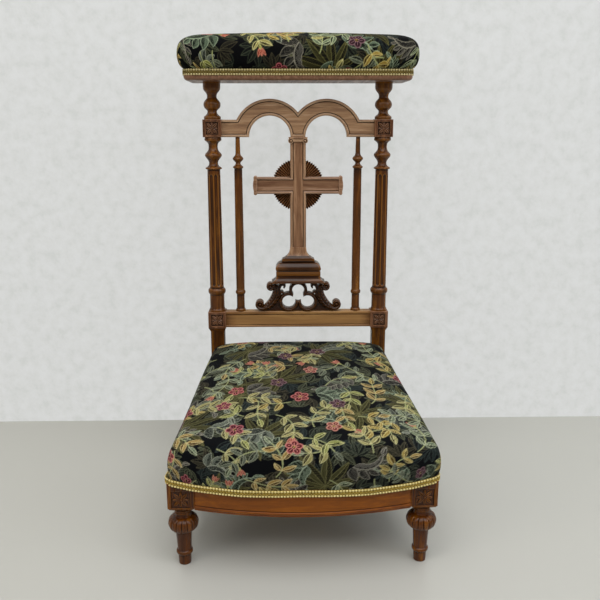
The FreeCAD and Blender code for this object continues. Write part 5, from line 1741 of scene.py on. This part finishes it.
def webbing(along_y):
    node = "seat_webbing_lengthwise" if along_y else "seat_webbing_crosswise"
    low, high = low_high(node)
    front, rear = leg_y + leg_half, post_y - stile_half
    lanes_y = [front + (rear - front) * (k + 0.5) / 4 for k in range(4)]
    inner = (post_x - stile_half) * 2
    lanes_x = [inner * ((k + 0.5) / 4 - 0.5) for k in range(4)]
    shells, half_width, frame_half, nailed = [], 25, 230, 12
    if along_y:
        for k, x in enumerate(lanes_x):
            shells.append(strap(x, half_width, low[1], high[1], lanes_y, k % 2, True))
    else:
        slope = (frame_half - post_x - stile_half) / (rear - front)
        for k, y in enumerate(lanes_y):
            reach = frame_half - nailed - slope * (y - front)
            shells.append(strap(y, half_width, -reach, reach, lanes_x, (k + 1) % 2, False))
    finish_piece(make_mesh("woven_" + node, together(shells), jute), [node])


webbing(True)
webbing(False)

for material, nodes in (
        (hessian, ["seat_hessian"]), (rail_walnut, ["rear_seat_rail"]),
        (side_walnut, ["side_seat_rail_left", "side_seat_rail_right"]),
        (raw_beech, ["splat_dowels", "corner_brace_front_left", "corner_brace_front_right",
                     "corner_brace_rear_left", "corner_brace_rear_right"])):
    for node in nodes:
        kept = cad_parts[node].data.materials
        kept.clear()
        kept.append(material)


# Room, lamps and camera

def room_material(name, code, roughness, bump_height, bump_size):
    """Plain painted surface with a faint unevenness."""
    material, tree = new_material(name)
    place = add(tree, "ShaderNodeTexCoord").outputs["Object"]
    noise = add(tree, "ShaderNodeTexNoise", {"Vector": place, "Scale": 1 / (bump_size * mm), "Detail": 6.0,
                                             "Roughness": 0.6})
    bump = add(tree, "ShaderNodeBump", {"Height": noise, "Strength": 0.35, "Distance": bump_height * mm})
    shader = add(tree, "ShaderNodeBsdfPrincipled", {"Base Color": colour(code), "Roughness": roughness,
                                                    "Normal": bump})
    return material, tree, shader, noise


def room_side(name, corners, material):
    make_mesh(name, (np.array(corners, float), [[0, 1, 2, 3]]), material)


wall_y = 392.0
floor_half, wall_top = 4200.0, 3600.0
material, tree, shader, _ = room_material("floor_grey_screed", "#b9b8b1", 0.34, 0.2, 60.0)
add(tree, "ShaderNodeOutputMaterial", {"Surface": shader})
room_side("floor", [(-floor_half, -floor_half, 0), (floor_half, -floor_half, 0),
                    (floor_half, floor_half, 0), (-floor_half, floor_half, 0)], material)

# The wall keeps a plain pale tone where the camera sees it, and its troweled unevenness
material, tree, shader, noise = room_material("wall_white_plaster", "#dfe1de", 0.8, 5.0, 26.0)
tone = add(tree, "ShaderNodeValToRGB", {"Fac": noise},
           [(0.34, "#cfd1ce"), (0.46, "#d6d7d5"), (0.62, "#dbdcdb")])
plain = add(tree, "ShaderNodeEmission", {"Color": tone, "Strength": 1.0})
seen = add(tree, "ShaderNodeLightPath").outputs["Is Camera Ray"]
plain_share = add(tree, "ShaderNodeMath", {0: seen, 1: 0.8}, operation="MULTIPLY")
painted = add(tree, "ShaderNodeMixShader", {0: plain_share, 1: shader, 2: plain})
facing = add(tree, "ShaderNodeNewGeometry").outputs["Backfacing"]
mixed = add(tree, "ShaderNodeMixShader", {0: facing, 1: painted, 2: add(tree, "ShaderNodeBsdfTransparent")})
add(tree, "ShaderNodeOutputMaterial", {"Surface": mixed})
room_side("wall", [(-floor_half, wall_y, 0), (floor_half, wall_y, 0),
                   (floor_half, wall_y, wall_top), (-floor_half, wall_y, wall_top)], material)

world = bpy.data.worlds.new("room")
bpy.context.scene.world = world
world.use_nodes = True
tree = world.node_tree
tree.nodes.clear()
toward = add(tree, "ShaderNodeSeparateXYZ", {0: add(tree, "ShaderNodeTexCoord").outputs["Generated"]})
bright = add(tree, "ShaderNodeMapRange", map_range(toward.outputs["Z"], 0.0, 0.8, 0.14, 0.5))
sky = add(tree, "ShaderNodeBackground", {"Color": colour("#f4f5f6"), "Strength": bright})
seen = add(tree, "ShaderNodeBackground", {"Color": colour("#eeeeee"), "Strength": 0.95})
is_seen = add(tree, "ShaderNodeLightPath").outputs["Is Camera Ray"]
both = add(tree, "ShaderNodeMixShader", {0: is_seen, 1: sky, 2: seen})
add(tree, "ShaderNodeOutputWorld", {"Surface": both})


def area_lamp(name, place, aim, size, power, code="#ffffff"):
    data = bpy.data.lights.new(name, "AREA")
    data.shape, data.size = "SQUARE", size * mm
    data.energy = power
    data.color = linear(code)
    lamp = linked(name, data)
    lamp.location = Vector(place) * mm
    lamp.rotation_euler = (Vector(aim) - Vector(place)).to_track_quat("-Z", "Y").to_euler()


area_lamp("ceiling", (200, -1100, 2600), (100, 100, 300), 2600, 58)
area_lamp("window_left", (-2100, -1700, 1800), (0, 100, 450), 1300, 14, "#fff8ee")
area_lamp("window_right", (2300, -1300, 1700), (0, 100, 450), 1300, 15, "#f2f7ff")

# The photo's camera, fitted to the chair's verticals and widths
sensor, focal_pixels, photo_pixels = 36.0, 740, 600
tilt_down, turn_right = 15.0, 1.25
camera_data = bpy.data.cameras.new("camera")
camera_data.sensor_width = sensor
camera_data.lens = focal_pixels / photo_pixels * sensor
camera = linked("camera", camera_data)
camera.location = Vector((-30.0, leg_y - 1157, 791)) * mm
camera.rotation_euler = (math.radians(90 - tilt_down), 0, math.radians(-turn_right))
bpy.context.scene.camera = camera
bpy.context.scene.view_settings.view_transform = "Standard"
